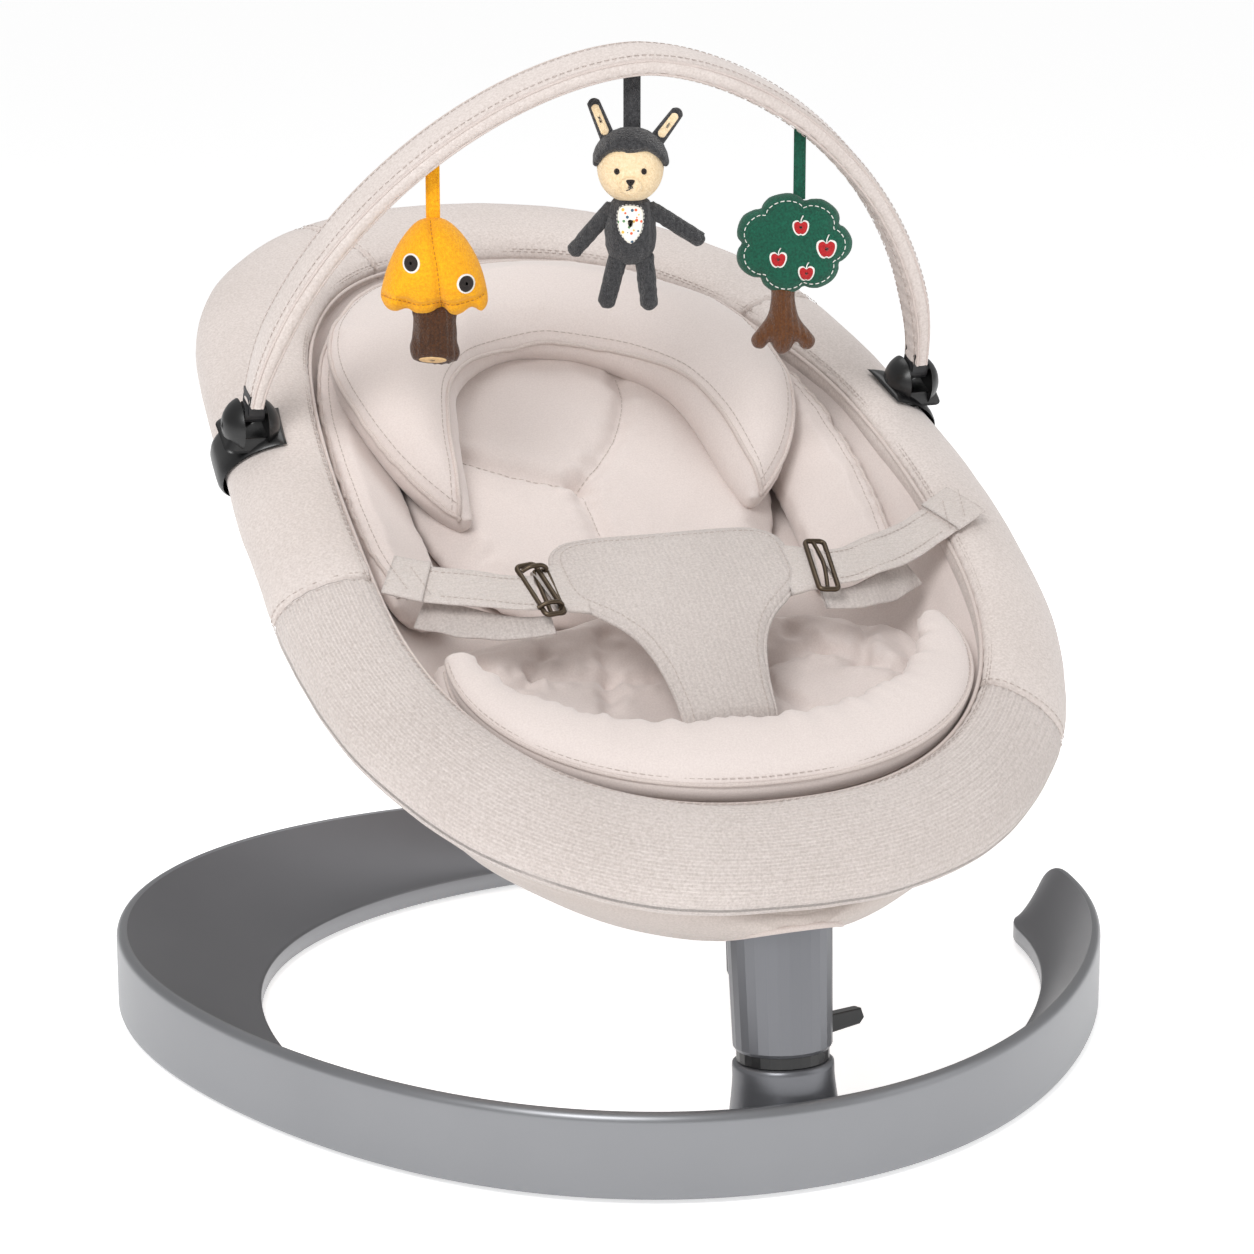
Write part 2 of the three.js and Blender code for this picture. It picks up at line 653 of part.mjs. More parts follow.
function makeCushions() {
  const seatPad = restingPad(roundOutline(118, 84, 232, 0.8), 158, 5, 16);
  const backPad = restingPad(roundOutline(98, 246, 520, 0.75), 383, 4, 18);
  seatGroup.add(
    mesh('seat_pad', seatPad, 'satin'),
    mesh('back_pad', backPad, 'satin'),
    mesh('foot_bolster', roll(bolsterStations()), 'satin'),
    mesh('head_hugger', roll(huggerStations()), 'satin'),
    mesh('side_pad_left', roll(sideStations(-1)), 'satin'),
    mesh('side_pad_right', roll(sideStations(1)), 'satin'),
  );
}

// Harness: the hourglass crotch pad, the two waist belts and their metal hardware.
function ribbon(stations, thickness) {
  return loft(stations.map(([centre, half, across]) => {
    const side = V3(...across).normalize();
    const before = V3(...centre);
    return [[-1, -1], [1, -1], [1, 1], [-1, 1]].map(([u, w]) => before.clone()
      .addScaledVector(side, half * u).add(V3(0, 0, w * thickness / 2)));
  }));
}

function makeHarness() {
  const row = (s, n, half) => [[0, s, n], half, [1, 0, 0]];
  const crotch = [row(246, 18, 62), row(238, 19, 73), row(205, 19, 79), row(184, 18, 68),
    row(160, 14, 44), row(132, 8, 32), row(100, 0, 29), row(84, -14, 28)];
  seatGroup.add(mesh('crotch_pad', ribbon(crotch, 4), 'knit'));
  for (const [name, side] of [['left', -1], ['right', 1]]) {
    const belt = [[[side * 104, 202, 20], 15, [0.15 * side, 1, 0]],
      [[side * 135, 208, 18], 15, [0.25 * side, 1, 0]],
      [[side * 165, 222, 13], 15, [0.3 * side, 1, 0]],
      [[side * 186, 234, 7], 15, [0.3 * side, 1, 0]]];
    seatGroup.add(mesh(`waist_belt_${name}`, ribbon(belt, 2.4), 'knit'));
  }
  const frame = new THREE.Shape([[-6, -21], [6, -21], [6, 21], [-6, 21]]
    .map(([x, y]) => new THREE.Vector2(x, y)));
  frame.holes.push(new THREE.Path([[-3, -18], [-3, 18], [3, 18], [3, -18]]
    .map(([x, y]) => new THREE.Vector2(x, y))));
  const loop = () => new THREE.ExtrudeGeometry(frame, { depth: 3, bevelEnabled: false });
  const loopBuckle = mesh('loop_buckle', loop(), 'brass');
  loopBuckle.position.set(90, 201, 17.5);
  const hook = join(loop(), block(4, 46, 3, -9.5, 0, 1.5), block(8, 3, 3, -7, 21.5, 1.5),
    block(8, 3, 3, -7, -21.5, 1.5));
  const hookBuckle = mesh('hook_buckle', hook, 'brass');
  hookBuckle.position.set(-88, 201, 17.5);
  seatGroup.add(loopBuckle, hookBuckle);
}

// Toy bar: clips on the rim, then the sprung core in its padded sleeve with plastic ends.
const barGroup = new THREE.Group();
barGroup.position.set(0, BAR_PIVOT[1], BAR_PIVOT[2]);
barGroup.rotation.x = -rad(BAR_LEAN);
seatGroup.add(barGroup);
object.updateMatrixWorld(true);

function rimShareAt(side, s) {
  let best = 0;
  let nearest = Infinity;
  for (let i = 0; i < 400; i++) {
    const p = rimCurve.getPointAt(i / 400);
    const far = Math.abs(p.y - s) + (p.x * side < 0 ? 1000 : 0);
    if (far < nearest) {
      [best, nearest] = [i / 400, far];
    }
  }
  return best;
}

// The rim pad's section at the clips, moved outwards by a distance.
function grownPad(turn, distance) {
  const [u, n] = padShape(turn, BAR_PIVOT[1]);
  const size = Math.hypot(u, n);
  return [u * (1 + distance / size), n * (1 + distance / size)];
}

function makeClip(name, side) {
  const share = rimShareAt(side, BAR_PIVOT[1]);
  const grown = (reach, distance) => rimPiece(share - reach, share + reach, 4, 36,
    (turn) => grownPad(turn, distance));
  const centre = rimCurve.getPointAt(share);
  const mouth = block(60, 120, 120, centre.x - side * (14 + 30), centre.y, centre.z);
  const band = cut(grown(0.0105, CLIP_CLEARANCE + 3), grown(0.014, CLIP_CLEARANCE), mouth);
  const dome = turned([[0, -20], [17, -20], [17, 2], [15.5, 6], [11, 9], [0, 10]], 16)
    .translate(side * BAR_PIVOT[0], BAR_PIVOT[1], BAR_PIVOT[2]);
  const slot = block(15, 60, 40, side * BAR_PIVOT[0], BAR_PIVOT[1], BAR_PIVOT[2] + 12.4);
  const pad = grown(0.014, CLIP_CLEARANCE + 1.5);
  const pin = new THREE.CylinderGeometry(3 + GAP, 3 + GAP, 24, 16).rotateZ(Math.PI / 2)
    .translate(side * BAR_PIVOT[0], BAR_PIVOT[1], BAR_PIVOT[2]);
  return mesh(name, cut(join(band, cut(dome, pad)), slot, pin), 'black');
}

function archPoint(turn) {
  const power = 1.16;
  const x = BAR_PIVOT[0] * Math.sign(Math.cos(turn)) * Math.abs(Math.cos(turn)) ** power;
  const z = BAR_RISE * Math.abs(Math.sin(turn)) ** power;
  return V3(x, 0, z);
}

function archSweep(width, thickness, from, steps, count) {
  const rings = [];
  for (let i = 0; i <= steps; i++) {
    const turn = from + (Math.PI - 2 * from) * i / steps;
    const at = archPoint(turn);
    const along = archPoint(turn + 0.01).sub(archPoint(turn - 0.01)).normalize();
    const out = V3(along.z, 0, -along.x);
    const ring = [];
    for (let j = 0; j < count; j++) {
      const angle = 2 * Math.PI * (j + 0.5) / count;
      const [c, s] = [Math.cos(angle), Math.sin(angle)];
      ring.push(at.clone()
        .add(V3(0, width / 2 * Math.sign(c) * Math.abs(c) ** 0.6, 0))
        .addScaledVector(out, thickness / 2 * Math.sign(s) * Math.abs(s) ** 0.8));
    }
    rings.push(ring);
  }
  return loft(rings);
}

function makeToyBar() {
  for (const [name, side] of [['left', -1], ['right', 1]]) {
    seatGroup.add(makeClip(`bar_clip_${name}`, side));
    const eye = new THREE.CylinderGeometry(BAR_EYE, BAR_EYE, 13, 20).rotateZ(Math.PI / 2)
      .translate(side * BAR_PIVOT[0], 0, 0);
    const eyeBore = new THREE.CylinderGeometry(3 + GAP, 3 + GAP, 30, 16).rotateZ(Math.PI / 2)
      .translate(side * BAR_PIVOT[0], 0, 0);
    const neck = block(10, 16, 14, side * (BAR_PIVOT[0] - 0.5), 0, 8);
    const end = mesh(`bar_end_${name}`, cut(join(eye, neck), eyeBore), 'nylon');
    const pin = mesh(`bar_pin_${name}`, new THREE.CylinderGeometry(3, 3, 22, 16)
      .rotateZ(Math.PI / 2).translate(side * BAR_PIVOT[0], BAR_PIVOT[1], BAR_PIVOT[2]), 'steel');
    barGroup.add(end);
    seatGroup.add(pin);
  }
  const sleeveBody = archSweep(...BAR_SECTION, 0.1, 26, 10);
  const hollow = archSweep(18, 6, 0.06, 26, 6);
  barGroup.add(
    mesh('bar_sleeve', cut(sleeveBody, hollow), 'knit'),
    mesh('bar_core', archSweep(15, 3.2, 0.11, 26, 6), 'steel'),
  );
}

// Toys: each hangs by a flat strap from the underside of the arch.
const TOYS = {
  mushroom: { x: -137, strap: [9, 34], colour: 'yellow' },
  animal: { x: -4, strap: [10, 34], colour: 'charcoal' },
  tree: { x: 126, strap: [8, 38], colour: 'green' },
};

function archAt(x) {
  let best = archPoint(0.3);
  for (let turn = 0.3; turn < Math.PI - 0.3; turn += 0.004) {
    const p = archPoint(turn);
    best = Math.abs(p.x - x) < Math.abs(best.x - x) ? p : best;
  }
  const normal = V3(best.x / BAR_PIVOT[0] ** 2, 0, best.z / BAR_RISE ** 2).normalize();
  return best.addScaledVector(normal, -(BAR_SECTION[1] / 2 + 3.5));
}

function hang(name, pieces) {
  const { x, strap, colour } = TOYS[name];
  const toy = new THREE.Group();
  toy.position.copy(barGroup.localToWorld(archAt(x)));
  toy.add(mesh(`${name}_strap`, block(strap[0], 1.6, strap[1], 0, 0, -strap[1] / 2), colour));
  pieces.forEach(([part, geometry, paint]) => {
    toy.add(mesh(part, geometry.translate(0, 0, -strap[1] - GAP), paint));
  });
  object.add(toy);
}

function puffyOutline(lobes, radius, depth, lobeDepth) {
  const corners = [];
  const count = lobes * 4;
  for (let i = 0; i < count; i++) {
    const turn = 2 * Math.PI * i / count;
    const reach = radius - lobeDepth * Math.abs(Math.cos(lobes * turn / 2));
    corners.push([reach * Math.cos(turn), reach * Math.sin(turn)]);
  }
  const ring = (scale, y) => corners.map(([x, z]) => V3(x * scale, y, z * scale * 0.86));
  return loft([ring(0.3, -depth), ring(0.75, -depth * 0.8), ring(0.96, -depth * 0.35),
    ring(0.96, depth * 0.35), ring(0.75, depth * 0.8), ring(0.3, depth)]);
}

function makeToys() {
  const cap = turned([[0, 0], [7, -3], [19, -16], [29, -32], [34, -50], [33, -57], [26, -60],
    [0, -58]], 16);
  const mushroomStem = turned([[0, -60], [13, -60.6], [15, -76], [14.5, -88], [0, -91]], 14);
  hang('mushroom', [['mushroom_cap', cap, 'yellow'], ['mushroom_stem', mushroomStem, 'brown']]);
  const head = new THREE.SphereGeometry(22, 12, 8).scale(1, 0.8, 1.06).translate(0, 0, -24);
  const ear = (side) => new THREE.CapsuleGeometry(5.5, 12, 2, 8).rotateX(Math.PI / 2)
    .rotateY(side * 0.5).scale(1, 0.7, 1).translate(side * 19, 0, -4);
  const body = new THREE.CapsuleGeometry(14, 16, 3, 10).rotateX(Math.PI / 2)
    .scale(1.1, 0.75, 1).translate(0, 0, -61);
  const arm = (side) => new THREE.CapsuleGeometry(5, 26, 2, 8).rotateX(Math.PI / 2)
    .rotateY(-side * 0.85).translate(side * 21, 0, -66);
  const leg = (side) => new THREE.CapsuleGeometry(6, 28, 2, 8).rotateX(Math.PI / 2)
    .rotateY(-side * 0.14).translate(side * 11, 0, -92);
  hang('animal', [
    ['animal_head', join(head, ear(-1), ear(1)), 'charcoal'],
    ['animal_body', cut(join(body, arm(-1), arm(1), leg(-1), leg(1)),
      new THREE.SphereGeometry(22.6, 12, 8).scale(1, 0.8, 1.06).translate(0, 0, -24)),
    'charcoal'],
  ]);
  const crown = puffyOutline(7, 39, 13, 5).translate(0, 0, -33);
  const trunk = turned([[0, -70], [10, -70], [11, -88], [19, -102], [18, -108], [0, -108]], 14)
    .scale(1, 0.7, 1);
  hang('tree', [['tree_crown', crown, 'green'], ['tree_trunk', trunk, 'brown']]);
}

makeBase();
makeStem();
makeLever();
makeFrame();
makeChassis();
makeSling();
makeCover();
makeCushions();
makeHarness();
makeToyBar();
makeToys();

export default object;
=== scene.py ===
import json
import math

import bpy
import numpy as np
from mathutils import Matrix, Vector, noise
from mathutils.bvhtree import BVHTree
from mathutils.geometry import delaunay_2d_cdt


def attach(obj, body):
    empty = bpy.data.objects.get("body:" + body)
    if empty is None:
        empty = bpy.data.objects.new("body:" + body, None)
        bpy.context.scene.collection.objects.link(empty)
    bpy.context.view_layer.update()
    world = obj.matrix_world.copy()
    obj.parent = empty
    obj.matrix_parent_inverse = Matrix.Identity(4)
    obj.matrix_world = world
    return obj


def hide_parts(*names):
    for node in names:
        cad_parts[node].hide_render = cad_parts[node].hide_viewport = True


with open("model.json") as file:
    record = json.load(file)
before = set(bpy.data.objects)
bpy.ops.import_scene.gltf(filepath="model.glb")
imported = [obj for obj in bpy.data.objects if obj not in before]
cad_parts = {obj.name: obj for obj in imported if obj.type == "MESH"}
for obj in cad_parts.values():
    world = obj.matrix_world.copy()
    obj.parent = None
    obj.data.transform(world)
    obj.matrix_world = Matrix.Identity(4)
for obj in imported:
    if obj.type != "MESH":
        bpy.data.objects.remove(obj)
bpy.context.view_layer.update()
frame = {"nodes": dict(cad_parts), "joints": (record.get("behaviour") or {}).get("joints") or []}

# Local frames: millimetres in, row metres out.
MM = Matrix.Scale(0.001, 4)
ROW = MM
SEAT = Matrix.Translation((0, 0, 0.216)) @ Matrix.Rotation(math.radians(30), 4, "X") @ MM
STEM = Matrix.Translation((0, 0, 0.075)) @ Matrix.Rotation(math.radians(-5.5), 4, "X") @ MM
BAR = SEAT @ Matrix.Translation((0, 388, 24)) @ Matrix.Rotation(math.radians(-10), 4, "X")

WAIST = 235
RIM_HALF, RIM_FOOT, RIM_HEAD = 227, -20, 668
OPEN_HALF, OPEN_FOOT, OPEN_HEAD = 191, 27, 632


# ---------------------------------------------------------------- small maths
def smoothstep(value, low, high):
    t = np.clip((np.asarray(value, float) - low) / (high - low), 0, 1)
    return t * t * (3 - 2 * t)


def power_of(value, power):
    return np.sign(value) * np.abs(value) ** power


def wobble(points, scale, seed=0.0):
    """Smooth noise, about -1 to 1, at points in millimetres, one wave per scale."""
    return np.array([noise.noise(Vector((p[0] / scale + seed, p[1] / scale, p[2] / scale)))
                     for p in np.asarray(points, float).reshape(-1, 3)])


def smooth_loop(corners, spacing=4.0, closed=True):
    """A Catmull-Rom line through 2-D or 3-D corners, resampled evenly."""
    p = np.asarray(corners, float)
    count = len(p)
    dense = []
    for i in range(count if closed else count - 1):
        if closed:
            a, b, c, d = (p[(i + k) % count] for k in (-1, 0, 1, 2))
        else:
            a, b, c, d = (p[min(max(i + k, 0), count - 1)] for k in (-1, 0, 1, 2))
        for t in np.linspace(0, 1, 16, endpoint=False):
            dense.append(0.5 * (2 * b + (c - a) * t + (2 * a - 5 * b + 4 * c - d) * t * t
                                + (3 * b - a - 3 * c + d) * t ** 3))
    dense.append(p[0] if closed else p[-1])
    dense = np.array(dense)
    along = np.concatenate([[0], np.cumsum(np.linalg.norm(np.diff(dense, axis=0), axis=1))])
    steps = max(8, int(round(along[-1] / spacing)))
    at = np.linspace(0, along[-1], steps + 1)[: steps if closed else steps + 1]
    return np.stack([np.interp(at, along, dense[:, k]) for k in range(p.shape[1])], axis=1)


def far_from(points, line, closed=False):
    """Distance of each 2-D point from a polyline."""
    p = np.asarray(points, float)[:, None, :2]
    a = np.asarray(line, float)[:, :2]
    b = np.roll(a, -1, axis=0) if closed else a[1:]
    a = a if closed else a[:-1]
    span = b - a
    t = np.clip(((p - a) * span).sum(-1) / np.maximum((span ** 2).sum(-1), 1e-9), 0, 1)
    return np.linalg.norm(p - (a + t[..., None] * span), axis=-1).min(1)


def inside(points, loop):
    x, y = np.asarray(points, float)[:, 0][:, None], np.asarray(points, float)[:, 1][:, None]
    ax, ay = loop[:, 0], loop[:, 1]
    bx, by = np.roll(ax, -1), np.roll(ay, -1)
    crosses = (ay > y) != (by > y)
    at = ax + (y - ay) * (bx - ax) / np.where(np.abs(by - ay) < 1e-9, 1e-9, by - ay)
    return (crosses & (x < at)).sum(1) % 2 == 1


def inward(loop):
    """Unit normals of a closed 2-D line, pointing to its inside."""
    tangent = np.roll(loop, -1, axis=0) - np.roll(loop, 1, axis=0)
    normal = np.stack([-tangent[:, 1], tangent[:, 0]], axis=1)
    normal /= np.linalg.norm(normal, axis=1, keepdims=True)
    return normal if inside(loop[:1] + normal[:1] * 0.5, loop)[0] else -normal


# ---------------------------------------------------------------- materials
def add(tree, kind, inputs=None, **props):
    made = tree.nodes.new(kind)
    for name, value in props.items():
        setattr(made, name, value)
    for name, value in (inputs or {}).items():
        if hasattr(value, "is_output"):
            tree.links.new(value, made.inputs[name])
        else:
            made.inputs[name].default_value = value
    return made


def linear(rgb):
    return tuple((c / 255 / 12.92) if c <= 10 else ((c / 255 + 0.055) / 1.055) ** 2.4
                 for c in rgb) + (1.0,)


def blank(name, rough, metal=0.0, sheen=0.0, coat=0.0):
    made = bpy.data.materials.new(name)
    made.use_nodes = True
    tree = made.node_tree
    shader = tree.nodes["Principled BSDF"]
    shader.inputs["Roughness"].default_value = rough
    shader.inputs["Metallic"].default_value = metal
    shader.inputs["Sheen Weight"].default_value = sheen
    shader.inputs["Sheen Roughness"].default_value = 0.45
    shader.inputs["Coat Weight"].default_value = coat
    shader.inputs["Coat Roughness"].default_value = 0.12
    return made, tree, shader


def mixed(tree, factor, dark, light):
    blend = add(tree, "ShaderNodeMix", {"Factor": factor}, data_type="RGBA")
    blend.inputs[6].default_value = linear(dark)
    blend.inputs[7].default_value = linear(light)
    return blend.outputs[2]


def bump(tree, shader, heights):
    """Chains bumps of (height socket, distance in metres, strength)."""
    last = None
    for height, distance, strength in heights:
        made = add(tree, "ShaderNodeBump",
                   {"Height": height, "Distance": distance, "Strength": strength})
        if last is not None:
            tree.links.new(last.outputs["Normal"], made.inputs["Normal"])
        last = made
    tree.links.new(last.outputs["Normal"], shader.inputs["Normal"])


def fabric(name, light, dark, cell=1.1, depth=0.3, strength=0.5, rough=0.9, sheen=0.25,
           ribs=None, rib_depth=0.4, soft=0.35):
    """Woven or plush cloth: yarn cells, flecks of a darker tone and slow shading differences.
    ribs is (pitch in mm, "uv" or an axis letter) for twill, ribbing or corduroy."""
    made, tree, shader = blank(name, rough, sheen=sheen)
    place = add(tree, "ShaderNodeTexCoord")
    where = place.outputs["Object"]
    yarn = add(tree, "ShaderNodeTexVoronoi", {"Vector": where, "Scale": 1000 / cell,
                                              "Randomness": 0.75})
    fleck = add(tree, "ShaderNodeTexNoise", {"Vector": where, "Scale": 620 / cell,
                                             "Detail": 3.0, "Roughness": 0.6})
    slow = add(tree, "ShaderNodeTexNoise", {"Vector": where, "Scale": 9.0, "Detail": 1.0})
    gentle = add(tree, "ShaderNodeMath", {0: slow.outputs["Fac"], 1: 0.3}, operation="MULTIPLY")
    tone = add(tree, "ShaderNodeMath", {0: fleck.outputs["Fac"], 1: gentle.outputs[0]},
               operation="ADD")
    tone = add(tree, "ShaderNodeMapRange", {"Value": tone.outputs[0], "From Min": 0.65 - soft / 2,
                                            "From Max": 0.65 + soft / 2})
    colour = mixed(tree, tone.outputs["Result"], dark, light)
    tree.links.new(colour, shader.inputs["Base Color"])
    heights = [(yarn.outputs["Distance"], depth / 1000, strength)]
    if ribs:
        pitch, way = ribs
        vector = place.outputs["UV"] if way == "uv" else where
        direction = "Y" if way == "uv" else way
        wave = add(tree, "ShaderNodeTexWave", {"Vector": vector, "Scale": 1000 / pitch * 0.314 / 2,
                                               "Distortion": 1.6, "Detail": 2.0,
                                               "Detail Scale": 30.0},
                   wave_type="BANDS", bands_direction=direction)
        heights.append((wave.outputs["Fac"], rib_depth / 1000, 0.8))
    bump(tree, shader, heights)
    rough_map = add(tree, "ShaderNodeMapRange", {"Value": slow.outputs["Fac"],
                                                 "To Min": rough - 0.06, "To Max": rough + 0.06})
    tree.links.new(rough_map.outputs["Result"], shader.inputs["Roughness"])
    return made


def metal(name, light, dark, rough=0.36, grain=0.02, metallic=0.75, coat=0.0):
    made, tree, shader = blank(name, rough, metal=metallic, coat=coat)
    where = add(tree, "ShaderNodeTexCoord").outputs["Object"]
    fine = add(tree, "ShaderNodeTexNoise", {"Vector": where, "Scale": 2600.0, "Detail": 2.0})
    slow = add(tree, "ShaderNodeTexNoise", {"Vector": where, "Scale": 9.0, "Detail": 3.0})
    tree.links.new(mixed(tree, slow.outputs["Fac"], dark, light), shader.inputs["Base Color"])
    worn = add(tree, "ShaderNodeMapRange", {"Value": slow.outputs["Fac"], "To Min": rough - 0.05,
                                            "To Max": rough + 0.07})
    tree.links.new(worn.outputs["Result"], shader.inputs["Roughness"])
    bump(tree, shader, [(fine.outputs["Fac"], grain / 1000, 0.35)])
    return made


def plastic(name, light, dark, rough=0.3, grain=0.05, coat=0.3):
    made, tree, shader = blank(name, rough, coat=coat)
    where = add(tree, "ShaderNodeTexCoord").outputs["Object"]
    fine = add(tree, "ShaderNodeTexVoronoi", {"Vector": where, "Scale": 900.0})
    slow = add(tree, "ShaderNodeTexNoise", {"Vector": where, "Scale": 60.0, "Detail": 4.0})
    tree.links.new(mixed(tree, slow.outputs["Fac"], dark, light), shader.inputs["Base Color"])
    worn = add(tree, "ShaderNodeMapRange", {"Value": slow.outputs["Fac"], "To Min": rough - 0.06,
                                            "To Max": rough + 0.1})
    tree.links.new(worn.outputs["Result"], shader.inputs["Roughness"])
    bump(tree, shader, [(fine.outputs["Distance"], grain / 1000, 0.25)])
    return made


def confetti(name):
    """Bib print: scattered leaves of several colours on off-white cotton."""
    made, tree, shader = blank(name, 0.85, sheen=0.1)
    where = add(tree, "ShaderNodeTexCoord").outputs["Object"]
    cells = add(tree, "ShaderNodeTexVoronoi", {"Vector": where, "Scale": 330.0})
    pick = add(tree, "ShaderNodeSeparateColor", {"Color": cells.outputs["Color"]})
    ramp = add(tree, "ShaderNodeValToRGB", {"Fac": pick.outputs["Red"]})
    ramp.color_ramp.interpolation = "CONSTANT"
    ramp.color_ramp.elements[0].color = linear((226, 96, 60))
    ramp.color_ramp.elements[1].color = linear((244, 240, 230))
    ramp.color_ramp.elements[1].position = 0.8
    for position, rgb in [(0.2, (64, 96, 120)), (0.4, (233, 186, 82)), (0.6, (92, 140, 96))]:
        ramp.color_ramp.elements.new(position).color = linear(rgb)
    mask = add(tree, "ShaderNodeMath", {0: cells.outputs["Distance"], 1: 0.34},
               operation="LESS_THAN")
    blend = add(tree, "ShaderNodeMix", {"Factor": mask.outputs[0]}, data_type="RGBA")
    blend.inputs[6].default_value = linear((244, 240, 230))
    tree.links.new(ramp.outputs["Color"], blend.inputs[7])
    tree.links.new(blend.outputs[2], shader.inputs["Base Color"])
    weave = add(tree, "ShaderNodeTexVoronoi", {"Vector": where, "Scale": 1500.0})
    bump(tree, shader, [(weave.outputs["Distance"], 0.0002, 0.4)])
    return made


LOOK = {
    "knit": fabric("melange_knit", (220, 210, 205), (200, 189, 183), cell=1.0, depth=0.35),
    "twill": fabric("ribbed_twill", (218, 208, 203), (194, 183, 177), cell=1.0, depth=0.35,
                    ribs=(2.3, "uv"), rib_depth=0.7),
    "under": fabric("plain_lining", (204, 193, 187), (188, 177, 170), cell=0.8, depth=0.15,
                    strength=0.3),
    "satin": fabric("brushed_satin", (224, 213, 208), (214, 202, 197), cell=0.7, depth=0.12,
                    strength=0.3, rough=0.78, sheen=0.35),
    "harness": fabric("harness_twill", (212, 203, 198), (190, 180, 175), cell=0.9, depth=0.35,
                      ribs=(1.9, "X"), rib_depth=0.35),
    "webbing": fabric("belt_webbing", (216, 207, 202), (198, 188, 182), cell=0.8, depth=0.3,
                      ribs=(1.6, "Y"), rib_depth=0.4),
    "thread": fabric("sewing_thread", (198, 186, 179), (178, 165, 158), cell=0.5, depth=0.1),
    "piping": fabric("piping_cord", (212, 200, 194), (196, 183, 177), cell=0.6, depth=0.15),
    "yellow": fabric("yellow_plush", (253, 184, 6), (236, 156, 2), cell=1.0, depth=0.6,
                     strength=0.8, sheen=0.15),
    "yellow_dark": fabric("yellow_seam", (206, 134, 12), (180, 112, 8), cell=0.6, depth=0.2),
    "brown": fabric("brown_plush", (112, 66, 28), (80, 44, 16), cell=1.0, depth=0.6,
                    strength=0.8, sheen=0.35, ribs=(2.4, "X"), rib_depth=0.6),
    "dark_brown": fabric("dark_brown_plush", (84, 48, 18), (56, 29, 9), cell=1.0, depth=0.6,
                         strength=0.8, sheen=0.3, ribs=(2.4, "X"), rib_depth=0.6),
    "tan": fabric("tan_felt", (226, 190, 140), (206, 168, 118), cell=0.8, depth=0.3),
    "charcoal": fabric("charcoal_corduroy", (72, 72, 74), (40, 40, 43), cell=1.1, depth=0.7,
                       strength=0.9, sheen=0.25, ribs=(2.6, "X"), rib_depth=0.9),
    "hood": fabric("charcoal_plush", (70, 70, 72), (36, 36, 39), cell=1.3, depth=0.9,
                   strength=1.0, sheen=0.25),
    "cream": fabric("cream_plush", (248, 226, 190), (232, 204, 160), cell=1.1, depth=0.5,
                    strength=0.8, sheen=0.4),
    "green": fabric("green_felt", (10, 96, 72), (4, 66, 50), cell=0.9, depth=0.4,
                    strength=0.7, sheen=0.2),
    "red": fabric("red_embroidery", (196, 34, 38), (160, 18, 26), cell=0.6, depth=0.3),
    "white": fabric("white_embroidery", (246, 244, 240), (226, 222, 216), cell=0.6, depth=0.3),
    "black_thread": fabric("black_embroidery", (44, 34, 30), (26, 20, 18), cell=0.5, depth=0.3),
    "bib": confetti("bib_print"),
    # The ring's wall and its top are lit and shaded copies of one alloy: the top's darker colour is
    # painted shade.
    "ring_wall": metal("satin_alloy", (146, 147, 150), (134, 135, 138), rough=0.38),
    "ring_top_painted_shade": metal("satin_alloy_top_painted_shade", (122, 122, 125), (112, 112, 115), rough=0.42),
    "column": metal("satin_alloy_column", (122, 123, 127), (112, 113, 117), rough=0.36),
    "tube": metal("drawn_tube", (150, 151, 153), (120, 121, 123), rough=0.32, metallic=0.9),
    "steel": metal("turned_steel", (170, 171, 174), (140, 141, 144), rough=0.26, metallic=0.95),
    "brass": metal("antique_brass", (112, 98, 82), (66, 56, 46), rough=0.34, metallic=0.9,
                   grain=0.08),
    "gloss": plastic("gloss_black", (16, 16, 17), (7, 7, 8), rough=0.34, coat=0.12),
    "nylon": plastic("moulded_nylon", (44, 44, 46), (30, 30, 32), rough=0.5, grain=0.12, coat=0),
    "rubber": plastic("foot_rubber", (32, 32, 33), (20, 20, 21), rough=0.8, grain=0.2, coat=0),
}


# ---------------------------------------------------------------- mesh making
def finish_piece(name, verts, faces, place, look, body, uv=None, smooth=True):
    """A piece from local millimetre points, riding on its body."""
    v = np.asarray(verts, float)
    m = np.array(place, float)
    mesh = bpy.data.meshes.new(name)
    mesh.from_pydata((v @ m[:3, :3].T + m[:3, 3]).tolist(), [], faces)
    mesh.validate()
    if uv is not None:
        layer = mesh.uv_layers.new(name="UVMap")
        corners = np.empty(len(mesh.loops), int)
        mesh.loops.foreach_get("vertex_index", corners)
        layer.data.foreach_set("uv", np.asarray(uv, float)[corners].ravel())
    mesh.polygons.foreach_set("use_smooth", [smooth] * len(mesh.polygons))
    obj = bpy.data.objects.new(name, mesh)
    bpy.context.scene.collection.objects.link(obj)
    mesh.materials.append(LOOK[look])
    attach(obj, body)
    return obj


def grid_faces(rows, cols, loop_rows, loop_cols):
    faces = []
    for i in range(rows if loop_rows else rows - 1):
        k = (i + 1) % rows
        for j in range(cols if loop_cols else cols - 1):
            n = (j + 1) % cols
            faces.append((i * cols + j, k * cols + j, k * cols + n, i * cols + n))
    return faces


def facing_out(verts, faces):
    v = np.asarray(verts, float)
    volume = 0.0
    for f in faces:
        for a, b in zip(f[1:-1], f[2:]):
            volume += v[f[0]] @ np.cross(v[a], v[b])
    return faces if volume > 0 else [tuple(reversed(f)) for f in faces]


